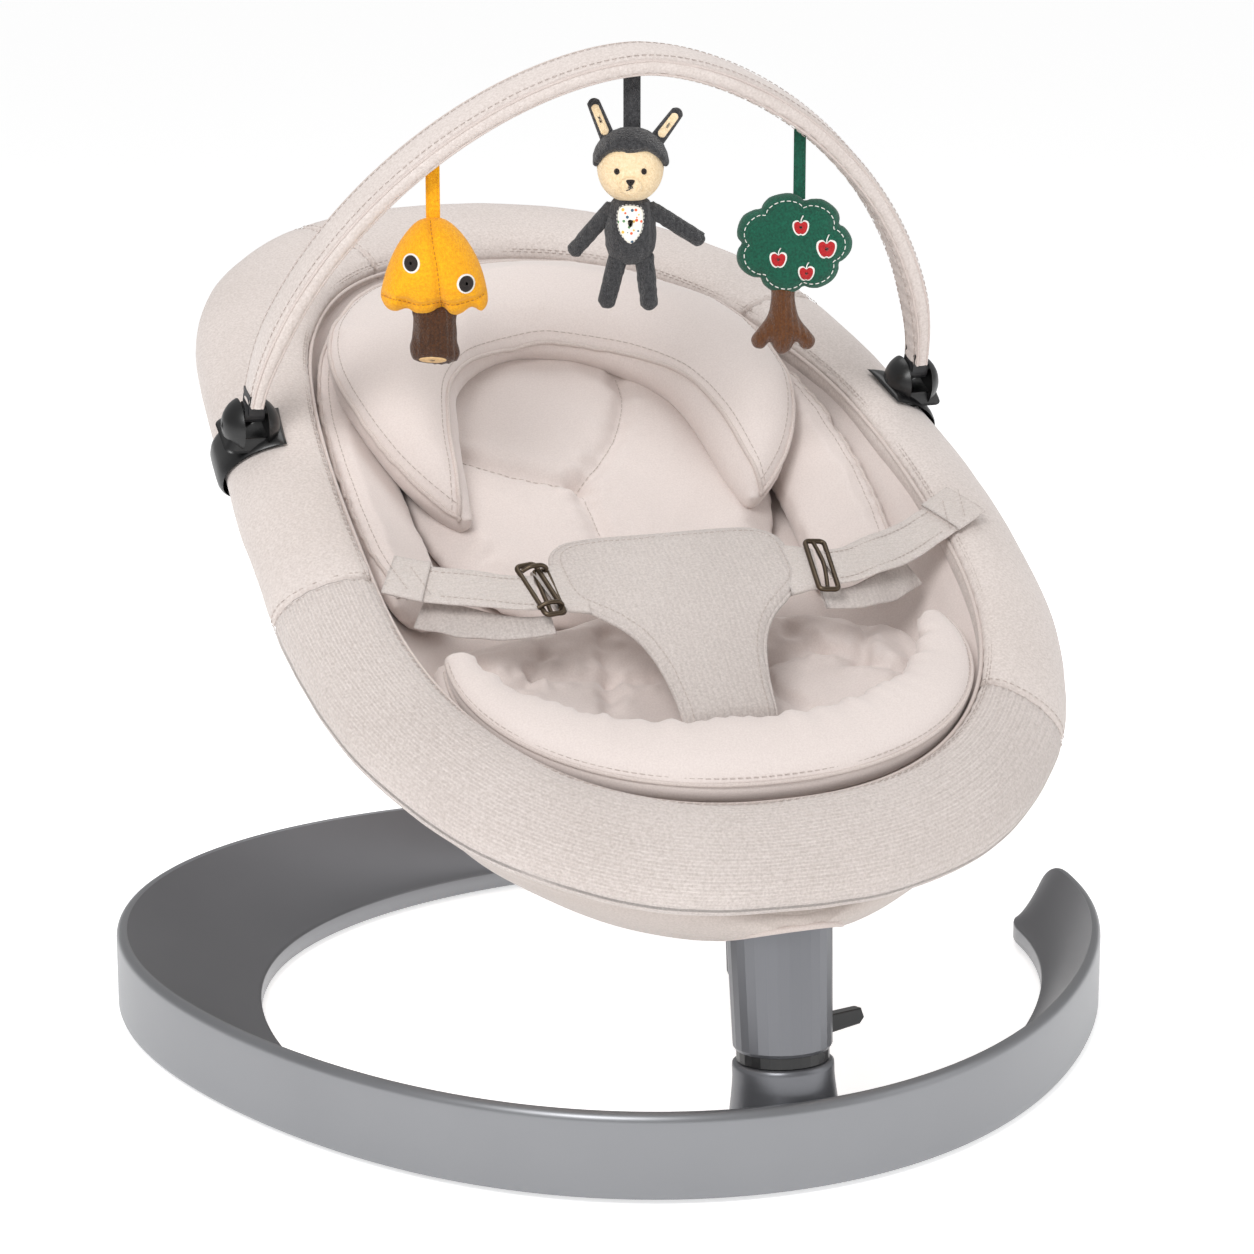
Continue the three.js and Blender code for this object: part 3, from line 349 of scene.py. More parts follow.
def skin(name, grid, place, look, body, loop_rows=False, loop_cols=True, caps=True):
    """A lofted skin over a grid of points (rows, columns, 3), with its ends closed."""
    rows, cols = grid.shape[:2]
    verts = grid.reshape(-1, 3)
    faces = grid_faces(rows, cols, loop_rows, loop_cols)
    if caps and not loop_rows and loop_cols:
        faces += [tuple(reversed(range(cols))), tuple((rows - 1) * cols + j for j in range(cols))]
    step_u = np.linalg.norm(np.diff(grid, axis=0), axis=2).mean(1)
    step_v = np.linalg.norm(np.diff(grid, axis=1), axis=2).mean(0)
    u = np.concatenate([[0], np.cumsum(step_u)]) / 1000
    v = np.concatenate([[0], np.cumsum(step_v)]) / 1000
    uv = np.stack(np.meshgrid(u, v, indexing="ij"), axis=-1).reshape(-1, 2)
    return finish_piece(name, verts, facing_out(verts, faces), place, look, body, uv)


def tube_grid(path, radius, sides=8, closed=False):
    p = np.asarray(path, float)
    before, after = np.roll(p, 1, axis=0), np.roll(p, -1, axis=0)
    if not closed:
        before[0], after[-1] = p[0], p[-1]
    along = after - before
    along /= np.maximum(np.linalg.norm(along, axis=1, keepdims=True), 1e-9)
    normal = np.cross(along[0], [0.3, 0.2, 1.0])
    rings = []
    for at, t in zip(p, along):
        normal = normal - (normal @ t) * t
        normal /= max(np.linalg.norm(normal), 1e-9)
        other = np.cross(t, normal)
        turn = np.linspace(0, 2 * math.pi, sides, endpoint=False)[:, None]
        rings.append(at + radius * (np.cos(turn) * normal + np.sin(turn) * other))
    return np.array(rings)


def cord_piece(name, path, radius, place, look, body, closed=False, sides=8):
    return skin(name, tube_grid(path, radius, sides, closed), place, look, body,
                loop_rows=closed)


def stitches(name, path, place, look, body, dash=3.2, gap=1.8, radius=0.42):
    """A running stitch: short raised dashes along a path."""
    p = np.asarray(path, float)
    along = np.concatenate([[0], np.cumsum(np.linalg.norm(np.diff(p, axis=0), axis=1))])
    verts, faces = [], []
    start = 0.0
    while start + dash < along[-1]:
        at = np.linspace(start, start + dash, 4)
        line = np.stack([np.interp(at, along, p[:, k]) for k in range(3)], axis=1)
        grid = tube_grid(line, radius, 5)
        base = len(verts)
        verts += grid.reshape(-1, 3).tolist()
        faces += [tuple(base + i for i in f) for f in grid_faces(4, 5, False, True)]
        faces += [tuple(base + i for i in reversed(range(5))),
                  tuple(base + 15 + i for i in range(5))]
        start += dash + gap
    return finish_piece(name, verts, faces, place, look, body)


def local_tree(obj, place):
    back = place.inverted()
    verts = [back @ v.co for v in obj.data.vertices]
    return BVHTree.FromPolygons(verts, [tuple(p.vertices) for p in obj.data.polygons])


def drape(line, obj, place, lift=0.3, top=400.0):
    """Lays a 2-D line onto the side of a piece that faces +n."""
    tree = local_tree(obj, place)
    laid = []
    for x, s in np.asarray(line, float)[:, :2]:
        hit, normal, _, _ = tree.ray_cast(Vector((x, s, top)), Vector((0, 0, -1)))
        if hit is not None:
            laid.append(hit + normal * lift)
    return np.array([list(p) for p in laid])


def pillow(name, outline, place, look, body, middle, top, bottom, edge, spacing=5.0,
           crown=0.0):
    """A stuffed flat shape: an outline in (x, s) swelling up and down from a middle surface."""
    loop = smooth_loop(outline, spacing * 0.8)
    low, high = loop.min(0), loop.max(0)
    inner = []
    rows = int((high[1] - low[1]) / (spacing * 0.866)) + 1
    for j in range(rows):
        for x in np.arange(low[0] + (j % 2) * spacing / 2, high[0], spacing):
            inner.append((x, low[1] + j * spacing * 0.866))
    inner = np.array(inner)
    inner = inner[inside(inner, loop)]
    inner = inner[far_from(inner, loop, True) > spacing * 1.1]
    near = loop + inward(loop) * spacing * 0.28
    near = near[inside(near, loop)]
    flat = np.vstack([loop, near, inner])
    made = delaunay_2d_cdt([Vector(p) for p in flat.tolist()], [], [list(range(len(loop)))], 1,
                           1e-4)
    points = np.array([list(v) for v in made[0]])
    depth = far_from(points, loop, True)
    depth[depth < 1e-3] = 0
    swell = np.sqrt(1 - (1 - np.clip(depth / edge, 0, 1)) ** 2)
    centre = middle(points[:, 0], points[:, 1])
    rise = crown * depth / max(depth.max(), 1e-6)
    upper = np.column_stack([points, centre + (top + rise) * swell])
    lower = np.column_stack([points, centre - bottom * swell])
    rim = depth == 0
    index = np.where(rim, np.arange(len(points)), len(points) + np.cumsum(~rim) - 1)
    verts = np.vstack([upper, lower[~rim]])
    faces = [tuple(f) for f in made[2]]
    faces += [tuple(int(index[i]) for i in reversed(f)) for f in made[2]]
    return finish_piece(name, verts, facing_out(verts, faces), place, look, body)


def simulate(jobs, voxel=0.005, pressure=4.0, last=20):
    """Inflates each (piece, cap in mm) as sewn cloth, then lets each point keep the move up to
    its cap. All pieces share one run of the clock."""
    running = []
    for obj, cap in jobs:
        remesh = obj.modifiers.new("even", "REMESH")
        remesh.mode = "VOXEL"
        remesh.voxel_size = voxel
        bpy.context.view_layer.update()
        even = bpy.data.meshes.new_from_object(
            obj.evaluated_get(bpy.context.evaluated_depsgraph_get()))
        obj.modifiers.clear()
        even.transform(obj.matrix_world.inverted())
        obj.data = even
        rest = np.array([v.co for v in even.vertices], float)
        cloth = obj.modifiers.new("cloth", "CLOTH")
        cloth.settings.quality = 5
        cloth.settings.mass = 0.3
        cloth.settings.use_pressure = True
        cloth.settings.uniform_pressure_force = pressure
        cloth.settings.tension_stiffness = 12
        cloth.settings.compression_stiffness = 12
        cloth.settings.bending_stiffness = 0.4
        cloth.settings.effector_weights.gravity = 0
        cloth.point_cache.frame_end = last
        running.append((obj, cap / 1000, rest))
    for at in range(1, last + 1):
        bpy.context.scene.frame_set(at)
    graph = bpy.context.evaluated_depsgraph_get()
    results = [np.array([v.co for v in o.evaluated_get(graph).data.vertices], float)
               for o, _, _ in running]
    for (obj, cap, rest), moved in zip(running, results):
        obj.modifiers.clear()
        move = moved - rest
        size = np.linalg.norm(move, axis=1, keepdims=True)
        kept = rest + move * np.minimum(1, cap / np.maximum(size, 1e-9))
        obj.data.vertices.foreach_set("co", kept.astype(np.float32).ravel())
        obj.data.update()
    bpy.context.scene.frame_set(1)


def refine(obj, levels=1):
    """Applies subdivision to a piece's mesh and keeps it smooth."""
    sub = obj.modifiers.new("fine", "SUBSURF")
    sub.levels = levels
    sub.render_levels = levels
    bpy.context.view_layer.update()
    fine = bpy.data.meshes.new_from_object(
        obj.evaluated_get(bpy.context.evaluated_depsgraph_get()))
    obj.modifiers.clear()
    obj.data = fine
    fine.polygons.foreach_set("use_smooth", [True] * len(fine.polygons))
    fine.update()


def shape(obj, place, move):
    """Moves a piece's points by move(points, normals) in local millimetres."""
    m = np.array(place, float)
    back = np.linalg.inv(m)
    co = np.array([v.co for v in obj.data.vertices], float)
    nor = np.array([v.normal for v in obj.data.vertices], float)
    p = co @ back[:3, :3].T + back[:3, 3]
    n = nor @ back[:3, :3].T
    n /= np.maximum(np.linalg.norm(n, axis=1, keepdims=True), 1e-9)
    q = p + move(p, n)
    obj.data.vertices.foreach_set("co", (q @ m[:3, :3].T + m[:3, 3]).astype(np.float32).ravel())
    obj.data.update()


def seam_moves(lines, depth, width, pucker=0.0):
    """Sewn channels pressed into the top of a pad, with small puckers beside them."""
    def move(p, n):
        upper = smoothstep(n[:, 2], 0.0, 0.5)
        total = np.zeros(len(p))
        for line in lines:
            away = far_from(p, line)
            total -= depth * np.exp(-(away / width) ** 2)
            if pucker:
                ripple = wobble(np.column_stack([p[:, :2] * [1, 1], p[:, 0] * 0]), 9.0, 3.1)
                total += pucker * ripple * np.exp(-(away / (width * 2.6)) ** 2)
        return n * (total * upper)[:, None]
    return move


def creases(scale, amount, seed=0.0, stretch=(1.0, 1.0)):
    """Soft directional wrinkles over a pad."""
    def move(p, n):
        q = np.column_stack([p[:, 0] * stretch[0], p[:, 1] * stretch[1], p[:, 2] * 0.5])
        ridge = 1 - 2 * np.abs(wobble(q, scale, seed))
        return n * (amount * ridge)[:, None]
    return move


# ---------------------------------------------------------------- seat shapes
def sag(s):
    s = np.asarray(s, float)
    return np.where(s > 200, -62 * ((s - 200) / 450) ** 2, 0.0)


def egg(turn, half, foot, head):
    c, s = np.cos(turn), np.sin(turn)
    power = np.where(s < 0, 2 / 2.3, 2 / 2.4)
    reach = np.where(s < 0, WAIST - foot, head - WAIST)
    return half * power_of(c, power), WAIST + reach * power_of(s, power)


def opening_share(x, s):
    x, s = np.abs(np.asarray(x, float)), np.asarray(s, float)
    power = np.where(s < WAIST, 2.3, 2.4)
    reach = np.where(s < WAIST, WAIST - OPEN_FOOT, OPEN_HEAD - WAIST)
    return ((x / OPEN_HALF) ** power + (np.abs(s - WAIST) / reach) ** power) ** (1 / power)


def floor_height(x, s):
    share = np.minimum(1, opening_share(x, s))
    depth = 64 - 22 * smoothstep(s, 150, 600)
    return sag(s) - 12 - depth * (1 - share ** 4)


_turns = np.linspace(0, 2 * math.pi, 2881)
_x, _s = egg(_turns, RIM_HALF, RIM_FOOT, RIM_HEAD)
_line = np.stack([_x, _s, sag(_s)], axis=1)
_run = np.concatenate([[0], np.cumsum(np.linalg.norm(np.diff(_line, axis=0), axis=1))])
RIM_LENGTH = _run[-1]


def rim_at(share):
    at = np.mod(share, 1) * RIM_LENGTH
    return np.stack([np.interp(at, _run, _line[:, k]) for k in range(3)], axis=1)


def rim_grid(shares, turns, grow=0.0, scale=None, relief=None):
    """Points of the rim pad: shares run along it, turns round its section from the outside."""
    centre = rim_at(shares)
    tangent = rim_at(shares + 0.004) - rim_at(shares - 0.004)
    out = np.stack([tangent[:, 1], -tangent[:, 0], 0 * tangent[:, 0]], axis=1)
    out /= np.linalg.norm(out, axis=1, keepdims=True)
    c, s = np.cos(turns)[None, :], np.sin(turns)[None, :]
    growth = smoothstep(centre[:, 1], 370, 590)[:, None]
    wide = 31 + np.where(c > 0, 21 * growth, 0)
    high = 19 + np.where(s < 0, 12 * growth, 0)
    u = wide * power_of(c, 0.92)
    n = high * power_of(s, 0.88) - 0.33 * u * (1 - 0.6 * growth) - 1
    size = np.hypot(u, n)
    more = grow + (relief if relief is not None else 0)
    factor = (1 + more / size) * (scale[:, None] if scale is not None else 1)
    u, n = u * factor, n * factor
    points = centre[:, None, :] + out[:, None, :] * u[..., None]
    points[..., 2] += n
    return points


def make_rim():
    panels = [("rim_right", "rim_right_panel", -0.09, 0.155, "knit"),
              ("rim_head", "rim_head_panel", 0.155, 0.345, "knit"),
              ("rim_left", "rim_left_panel", 0.345, 0.59, "knit"),
              ("rim_foot", "rim_foot_panel", 0.59, 0.91, "twill")]
    turns = np.linspace(0, 2 * math.pi, 64, endpoint=False)
    for name, node, start, end, look in panels:
        length = (end - start) * RIM_LENGTH
        middle = np.linspace(3, length - 3, int(length / 3.2))
        runs = np.concatenate([[0.1, 0.5, 1.2, 2.0], middle,
                               length - np.array([2.0, 1.2, 0.5, 0.1])])
        shares = start + runs / RIM_LENGTH
        gap = np.minimum(runs, length - runs)
        scale = 1 - 0.10 * np.exp(-(gap / 1.6) ** 2) - 0.018 * np.exp(-(gap / 9) ** 2)
        base = rim_grid(shares, turns)
        slow = wobble(base, 70, 1.7).reshape(base.shape[:2]) * 1.4
        small = wobble(base, 22, 5.3).reshape(base.shape[:2]) * 0.35
        near_seam = np.exp(-(gap / 22) ** 2)[:, None]
        tucks = np.sin(turns * 17)[None, :] * near_seam * 0.45
        edge = np.exp(-((turns - math.pi * 0.94) / 0.10) ** 2)[None, :]
        lower = np.exp(-((turns - math.pi * 1.70) / 0.05) ** 2)[None, :]
        gather = np.sin(runs * 0.42 + 2 * np.sin(runs * 0.03))[:, None] * np.exp(
            -((turns - math.pi * 0.94) / 0.3) ** 2)[None, :] * 0.35
        relief = slow + small + tucks - 1.6 * edge - 1.4 * lower + gather
        grid = rim_grid(shares, turns, 0, scale, relief)
        piece = skin(name, grid, SEAT, look, "seat")
        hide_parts(node)
    shares = np.linspace(0, 1, 640, endpoint=False)
    for name, turn, grow, radius in [("rim_inner_piping", math.pi * 0.94, 0.3, 1.5),
                                     ("rim_lower_piping", math.pi * 1.70, 0.2, 1.1)]:
        line = rim_grid(shares, np.array([turn]), grow)[:, 0, :]
        cord_piece(name, line, radius, SEAT, "piping", "seat", closed=True)
    for name, turn in [("rim_stitch_inner", math.pi * 0.80),
                       ("rim_stitch_inner_2", math.pi * 0.83)]:
        line = rim_grid(shares, np.array([turn]), 0.15)[:, 0, :]
        stitches(name, line, SEAT, "thread", "seat", dash=3.0, gap=2.2, radius=0.32)
    for k, share in enumerate([-0.09, 0.155, 0.345, 0.59]):
        for side in (-1, 1):
            turns = np.linspace(-0.9, math.pi * 0.93, 60)
            line = rim_grid(np.array([share + side * 3.4 / RIM_LENGTH]), turns, 0.25)[0]
            stitches(f"rim_seam_stitch_{k}_{'a' if side < 0 else 'b'}", line, SEAT, "thread",
                     "seat", dash=2.6, gap=2.0, radius=0.3)


def cover_grid(downs, turns, inset=0.0):
    c, s = np.cos(turns), np.sin(turns)
    x, y = egg(turns, RIM_HALF + 14 - inset, RIM_FOOT - 14 + inset, RIM_HEAD + 14 - inset)
    top = np.stack([x, y, sag(y) - 27 - 18 * smoothstep(y, 350, 570)], axis=1)
    hem_row = np.stack([(39 - inset) * power_of(c, 0.7), 30 + (62 - inset) * power_of(s, 0.8),
                        145 - 19 * s - 216], axis=1)
    cos, sin = math.cos(math.radians(30)), math.sin(math.radians(30))
    hem = np.stack([hem_row[:, 0], hem_row[:, 1] * cos + hem_row[:, 2] * sin,
                    hem_row[:, 2] * cos - hem_row[:, 1] * sin], axis=1)
    d = downs[:, None]
    points = top[None] * (1 - d[..., None]) + hem[None] * d[..., None]
    full = 50 * c ** 2 + 22 * np.maximum(0, s) ** 2 - 4 * np.maximum(0, -s)
    points[..., 2] -= (full - inset)[None] * np.sin(math.pi * d) ** 0.75
    return points


def make_cover():
    turns = np.linspace(0, 2 * math.pi, 260, endpoint=False)
    downs = np.linspace(0, 1, 64) ** 0.9
    outer = cover_grid(downs, turns)
    d = downs[:, None]
    gathers = np.sin(turns * 26 + 1.3 * np.sin(turns * 5))[None] * smoothstep(d, 0.45, 1.0) * 1.5
    folds = np.sin(d * 26 + 2.2 * np.sin(turns * 2 + 0.6)[None]) * np.exp(
        -((d - 0.16) / 0.14) ** 2) * 1.8
    loose = wobble(outer, 60, 9.1).reshape(outer.shape[:2]) * 2.0 * np.sin(math.pi * d)
    outer[..., 2] += gathers * 0.6 + folds + loose - 0.5
    inner = cover_grid(downs[::-1], turns, 2.5)
    inner[..., 2] += (gathers * 0.6 + folds + loose - 0.5)[::-1]
    lift = (3 + 15 * smoothstep(outer[0, :, 1], 300, 560))[None, :, None]
    tuck = np.linspace(1, 0.15, 5)[:, None, None] * lift * [0, 0, 1]
    outer = np.concatenate([outer[:1] + tuck, outer])
    inner = np.concatenate([inner, inner[-1:] + tuck[::-1]])
    piece = skin("belly_cover", np.concatenate([outer, inner]), SEAT, "under", "seat",
                 loop_rows=True)
    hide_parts("under_cover")
    hem = cover_grid(np.array([0.995]), turns, 0.6)[0]
    hem_roll = cord_piece("belly_hem", hem, 2.0, SEAT, "piping", "seat", closed=True)
    seam = outer[3] + (outer[3] - [0, 235, 0]) * [0.002, 0.002, 0]
    top_roll = cord_piece("belly_top_seam", seam, 1.6, SEAT, "piping", "seat",
                          closed=True)


def make_sling():
    turns = np.linspace(0, 2 * math.pi, 220, endpoint=False)
    scales = np.concatenate([np.linspace(1.085, 1.0, 8), np.linspace(0.985, 0.02, 54)])
    x, s = egg(turns, OPEN_HALF, OPEN_FOOT, OPEN_HEAD)
    px = x[None] * scales[:, None]
    ps = WAIST + (s - WAIST)[None] * scales[:, None]
    height = floor_height(px, ps)
    height = height + 17 * smoothstep(scales, 0.97, 1.07)[:, None]
    outer = np.stack([px, ps, height], axis=2)
    outer[..., 2] += wobble(outer, 48, 2.2).reshape(px.shape) * 1.6
    under = outer[::-1].copy()
    under[..., 2] -= 2
    grid = np.concatenate([outer, under])
    piece = skin("seat_liner", grid, SEAT, "satin", "seat", loop_rows=True)
    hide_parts("seat_sling")


# ---------------------------------------------------------------- cushions
HUGGER_OUTER = [(-107, 318), (-140, 352), (-161, 405), (-163, 465), (-146, 520), (-108, 566),
                (-55, 594), (0, 601), (55, 594), (108, 566), (146, 520), (163, 465), (161, 405),
                (140, 352), (107, 318)]
HUGGER_INNER = [(99, 345), (92, 392), (76, 440), (44, 478), (0, 494), (-44, 478), (-76, 440),
                (-92, 392), (-99, 345)]
BACK_SEAMS = [
    [(-8, 366), (-30, 373), (-58, 386), (-84, 400), (-112, 418)],
    [(-8, 366), (12, 384), (34, 412), (52, 448), (58, 480)],
    [(-8, 366), (-7, 340), (-7, 300), (-6, 250)],
]


def hugger_middle(x, s):
    share = opening_share(x, s)
    return sag(s) - 8 + 66 * (share - 0.66) - 12 * smoothstep(-np.asarray(s), -420, -320)


def superellipse(half, low, high, power, count=40, centre=0.0):
    turn = np.linspace(0, 2 * math.pi, count, endpoint=False)
    return np.stack([centre + half * power_of(np.cos(turn), power),
                     (low + high) / 2 + (high - low) / 2 * power_of(np.sin(turn), power)], axis=1)


def roll_grid(centres, halves, highs, turns, relief=None):
    along = np.gradient(centres, axis=0)
    along /= np.linalg.norm(along, axis=1, keepdims=True)
    across = np.cross([0.0, 0.0, 1.0], along)
    across /= np.linalg.norm(across, axis=1, keepdims=True)
    up = np.cross(along, across)
    c, s = np.cos(turns)[None, :], np.sin(turns)[None, :]
    a = halves[:, None] * power_of(c, 0.9)
    b = highs[:, None] * power_of(s, 0.86)
    if relief is not None:
        size = np.maximum(np.hypot(a, b), 1e-6)
        a, b = a * (1 + relief / size), b * (1 + relief / size)
    return centres[:, None] + across[:, None] * a[..., None] + up[:, None] * b[..., None]


def bolster_line(count=150):
    t = np.linspace(0, 1, count)
    turn = math.pi * (1 + t)
    fat = np.sin(math.pi * (17 * t + 0.4) / 17.8) ** 0.62
    x = 160 * power_of(np.cos(turn), 0.92)
    s = 163 - 116 * np.abs(np.sin(turn)) ** 0.9
    return np.stack([x, s, 12 - 8 * (1 - fat)], axis=1), 3 + 27 * fat, 3 + 16 * fat


def make_bolster():
    centres, halves, highs = bolster_line()
    turns = np.linspace(0, 2 * math.pi, 44, endpoint=False)
    run = np.concatenate([[0], np.cumsum(np.linalg.norm(np.diff(centres, axis=0), axis=1))])
    inner = np.exp(-((turns - 0.2) / 0.9) ** 2)[None, :]
    tucks = (np.sin(run * 0.19 + 2.4 * np.sin(run * 0.045)) * 1.5
             + np.sin(run * 0.43 + 1.9 * np.sin(run * 0.06)) * 0.8)[:, None] * inner
    seam = np.exp(-((turns - math.pi * 1.08) / 0.08) ** 2)[None, :]
    grid = roll_grid(centres, halves, highs, turns, tucks - 1.6 * seam)
    grid += wobble(grid, 38, 7.7).reshape(grid.shape[:2])[..., None] * [0, 0, 1.3]
    piece = skin("front_bolster", grid, SEAT, "satin", "seat")
    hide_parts("foot_bolster")
    for k, (turn, grow) in enumerate([(math.pi * 0.86, 0.2), (math.pi * 1.12, 0.2)]):
        ring = roll_grid(centres, halves, highs, np.array([turn]), np.full((1, 1), grow))
        cord_piece(f"bolster_piping_{k}", ring[2:-2, 0, :], 1.5, SEAT, "piping", "seat")
    ring = roll_grid(centres, halves, highs, np.array([math.pi * 0.80]), np.full((1, 1), 0.1))
    stitches("bolster_stitch", ring[3:-3, 0, :], SEAT, "thread", "seat", radius=0.3)
    return piece


def make_cushions():
    hugger = pillow("hugger", HUGGER_OUTER + HUGGER_INNER, SEAT, "satin", "seat",
                    hugger_middle, 19, 22, 30, crown=5)
    back = pillow("back_cushion", superellipse(136, 236, 560, 0.8), SEAT, "satin", "seat",
                  lambda x, s: floor_height(x, s) + 11, 15, 8, 26, crown=4)
    lower = pillow("seat_cushion", superellipse(166, 72, 254, 0.8), SEAT, "satin", "seat",
                   lambda x, s: floor_height(x, s) + 13, 17, 8, 26, crown=5)
    sides = []
    for side, word in [(-1, "left"), (1, "right")]:
        outline = [(side * x, s) for x, s in [
            (176, 236), (184, 290), (185, 350), (181, 410), (172, 460), (156, 508), (132, 548),
            (112, 530), (122, 460), (127, 400), (128, 330), (126, 262), (146, 236)]]
        sides.append(pillow(f"side_cushion_{word}", outline, SEAT, "satin", "seat",
                            lambda x, s: floor_height(x, s) + 11, 10, 7, 16, crown=2))
    simulate([(hugger, 6), (back, 6), (lower, 8), (sides[0], 4), (sides[1], 4)])
    for piece in [hugger, back, lower, *sides]:
        refine(piece)
    seams = [smooth_loop(line, 4, closed=False) for line in BACK_SEAMS]
    shape(back, SEAT, seam_moves(seams, 6.5, 7.0, pucker=1.6))
    shape(back, SEAT, creases(55, 1.3, 4.2, (1.3, 0.8)))
    shape(hugger, SEAT, creases(70, 1.4, 8.8))
    tufts = [smooth_loop(line, 4, closed=False) for line in [
        [(-98, 182), (-60, 176), (-22, 170)], [(98, 182), (60, 176), (22, 170)],
        [(-70, 120), (-52, 160), (-40, 215)], [(70, 120), (52, 160), (40, 215)],
        [(-150, 128), (-116, 160), (-84, 200)], [(150, 128), (116, 160), (84, 200)],
        [(-116, 160), (-140, 200), (-150, 246)], [(116, 160), (140, 200), (150, 246)]]]
    shape(lower, SEAT, seam_moves(tufts, 6.0, 6.0, pucker=2.4))
    for piece in sides:
        shape(piece, SEAT, creases(34, 1.0, 1.1, (0.6, 1.4)))
    for piece, nodes, fill in [(hugger, ["head_hugger"], 0.8), (back, ["back_pad"], 0.6),
                               (lower, ["seat_pad"], 0.65), (sides[0], ["side_pad_left"], 0.5),
                               (sides[1], ["side_pad_right"], 0.5)]:
        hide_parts(*nodes)
    outline = smooth_loop(HUGGER_OUTER + HUGGER_INNER, 3)
    normal = inward(outline)
    edge = drape(outline + normal * 5.5, hugger, SEAT, 0.6)
    cord_piece("hugger_piping", edge, 1.6, SEAT, "piping", "seat", closed=True)
    row = drape(outline + normal * 10, hugger, SEAT, 0.15)
    stitches("hugger_stitch", row, SEAT, "thread", "seat", radius=0.3)
    for k, line in enumerate(seams):
        stitches(f"back_stitch_{k}", drape(line, back, SEAT, 0.15), SEAT, "thread", "seat",
                 radius=0.3)
    for side, word in [(-1, "left"), (1, "right")]:
        piece = sides[0] if side < 0 else sides[1]
        line = smooth_loop([(side * x, s) for x, s in [
            (172, 244), (179, 290), (180, 350), (176, 410), (167, 458), (151, 505), (132, 538)]],
            3, closed=False)
        cord_piece(f"side_piping_{word}", drape(line, piece, SEAT, 0.6), 1.4, SEAT, "piping",
                   "seat")
        inner = line - [side * 6, 0]
        stitches(f"side_stitch_{word}", drape(inner, piece, SEAT, 0.15), SEAT, "thread", "seat",
                 radius=0.3)


# ---------------------------------------------------------------- harness
CROTCH = [(246, 18, 62), (238, 19, 76), (205, 19, 79), (184, 18, 68), (160, 14, 44),
          (132, 8, 32), (100, 0, 29), (84, -14, 28)]


def crotch_height(x, s):
    rows = sorted(CROTCH)
    level = np.interp(s, [r[0] for r in rows], [r[1] for r in rows])
    return level - 3.0 * (np.asarray(x, float) / 79) ** 2


def make_crotch():
    right = [(56, 247), (72, 242), (79, 232), (80, 215), (79, 203), (75, 192), (64, 181),
             (50, 168), (40, 152), (34, 132), (31, 110), (30, 92), (28, 84)]
    outline = [(0, 246)] + right + [(0, 82)] + [(-x, s) for x, s in reversed(right)]
    pad = pillow("crotch_panel", outline, SEAT, "harness", "seat", crotch_height,
                 3.2, 2.6, 4.5, spacing=4.0, crown=1.2)
    refine(pad)
    shape(pad, SEAT, creases(40, 0.7, 6.1))
    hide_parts("crotch_pad")
    loop = smooth_loop(outline, 3)
    edge = np.column_stack([loop, crotch_height(loop[:, 0], loop[:, 1])])
    cord_piece("crotch_piping", edge, 1.7, SEAT, "harness", "seat", closed=True)
    row = drape(loop + inward(loop) * 5.5, pad, SEAT, 0.12)
    stitches("crotch_stitch", row, SEAT, "thread", "seat", dash=2.4, gap=1.6, radius=0.3)


def strap_grid(centres, halves, thick, across):
    """A flat strap with rounded edges: a flattened section swept along its centre line."""
    along = np.gradient(centres, axis=0)
    along /= np.linalg.norm(along, axis=1, keepdims=True)
    side = across - (across * along).sum(1, keepdims=True) * along
    side /= np.linalg.norm(side, axis=1, keepdims=True)
    up = np.cross(side, along)
    turn = np.linspace(0, 2 * math.pi, 20, endpoint=False)
    a = power_of(np.cos(turn), 0.35)[None, :, None] * halves[:, None, None]
    b = power_of(np.sin(turn), 0.7)[None, :, None] * thick[:, None, None] / 2
    return centres[:, None] + side[:, None] * a + up[:, None] * b


def ripple(centres, amount, scale, seed):
    bent = centres.copy()
    bent[:, 2] += wobble(centres, scale, seed) * amount
    return bent


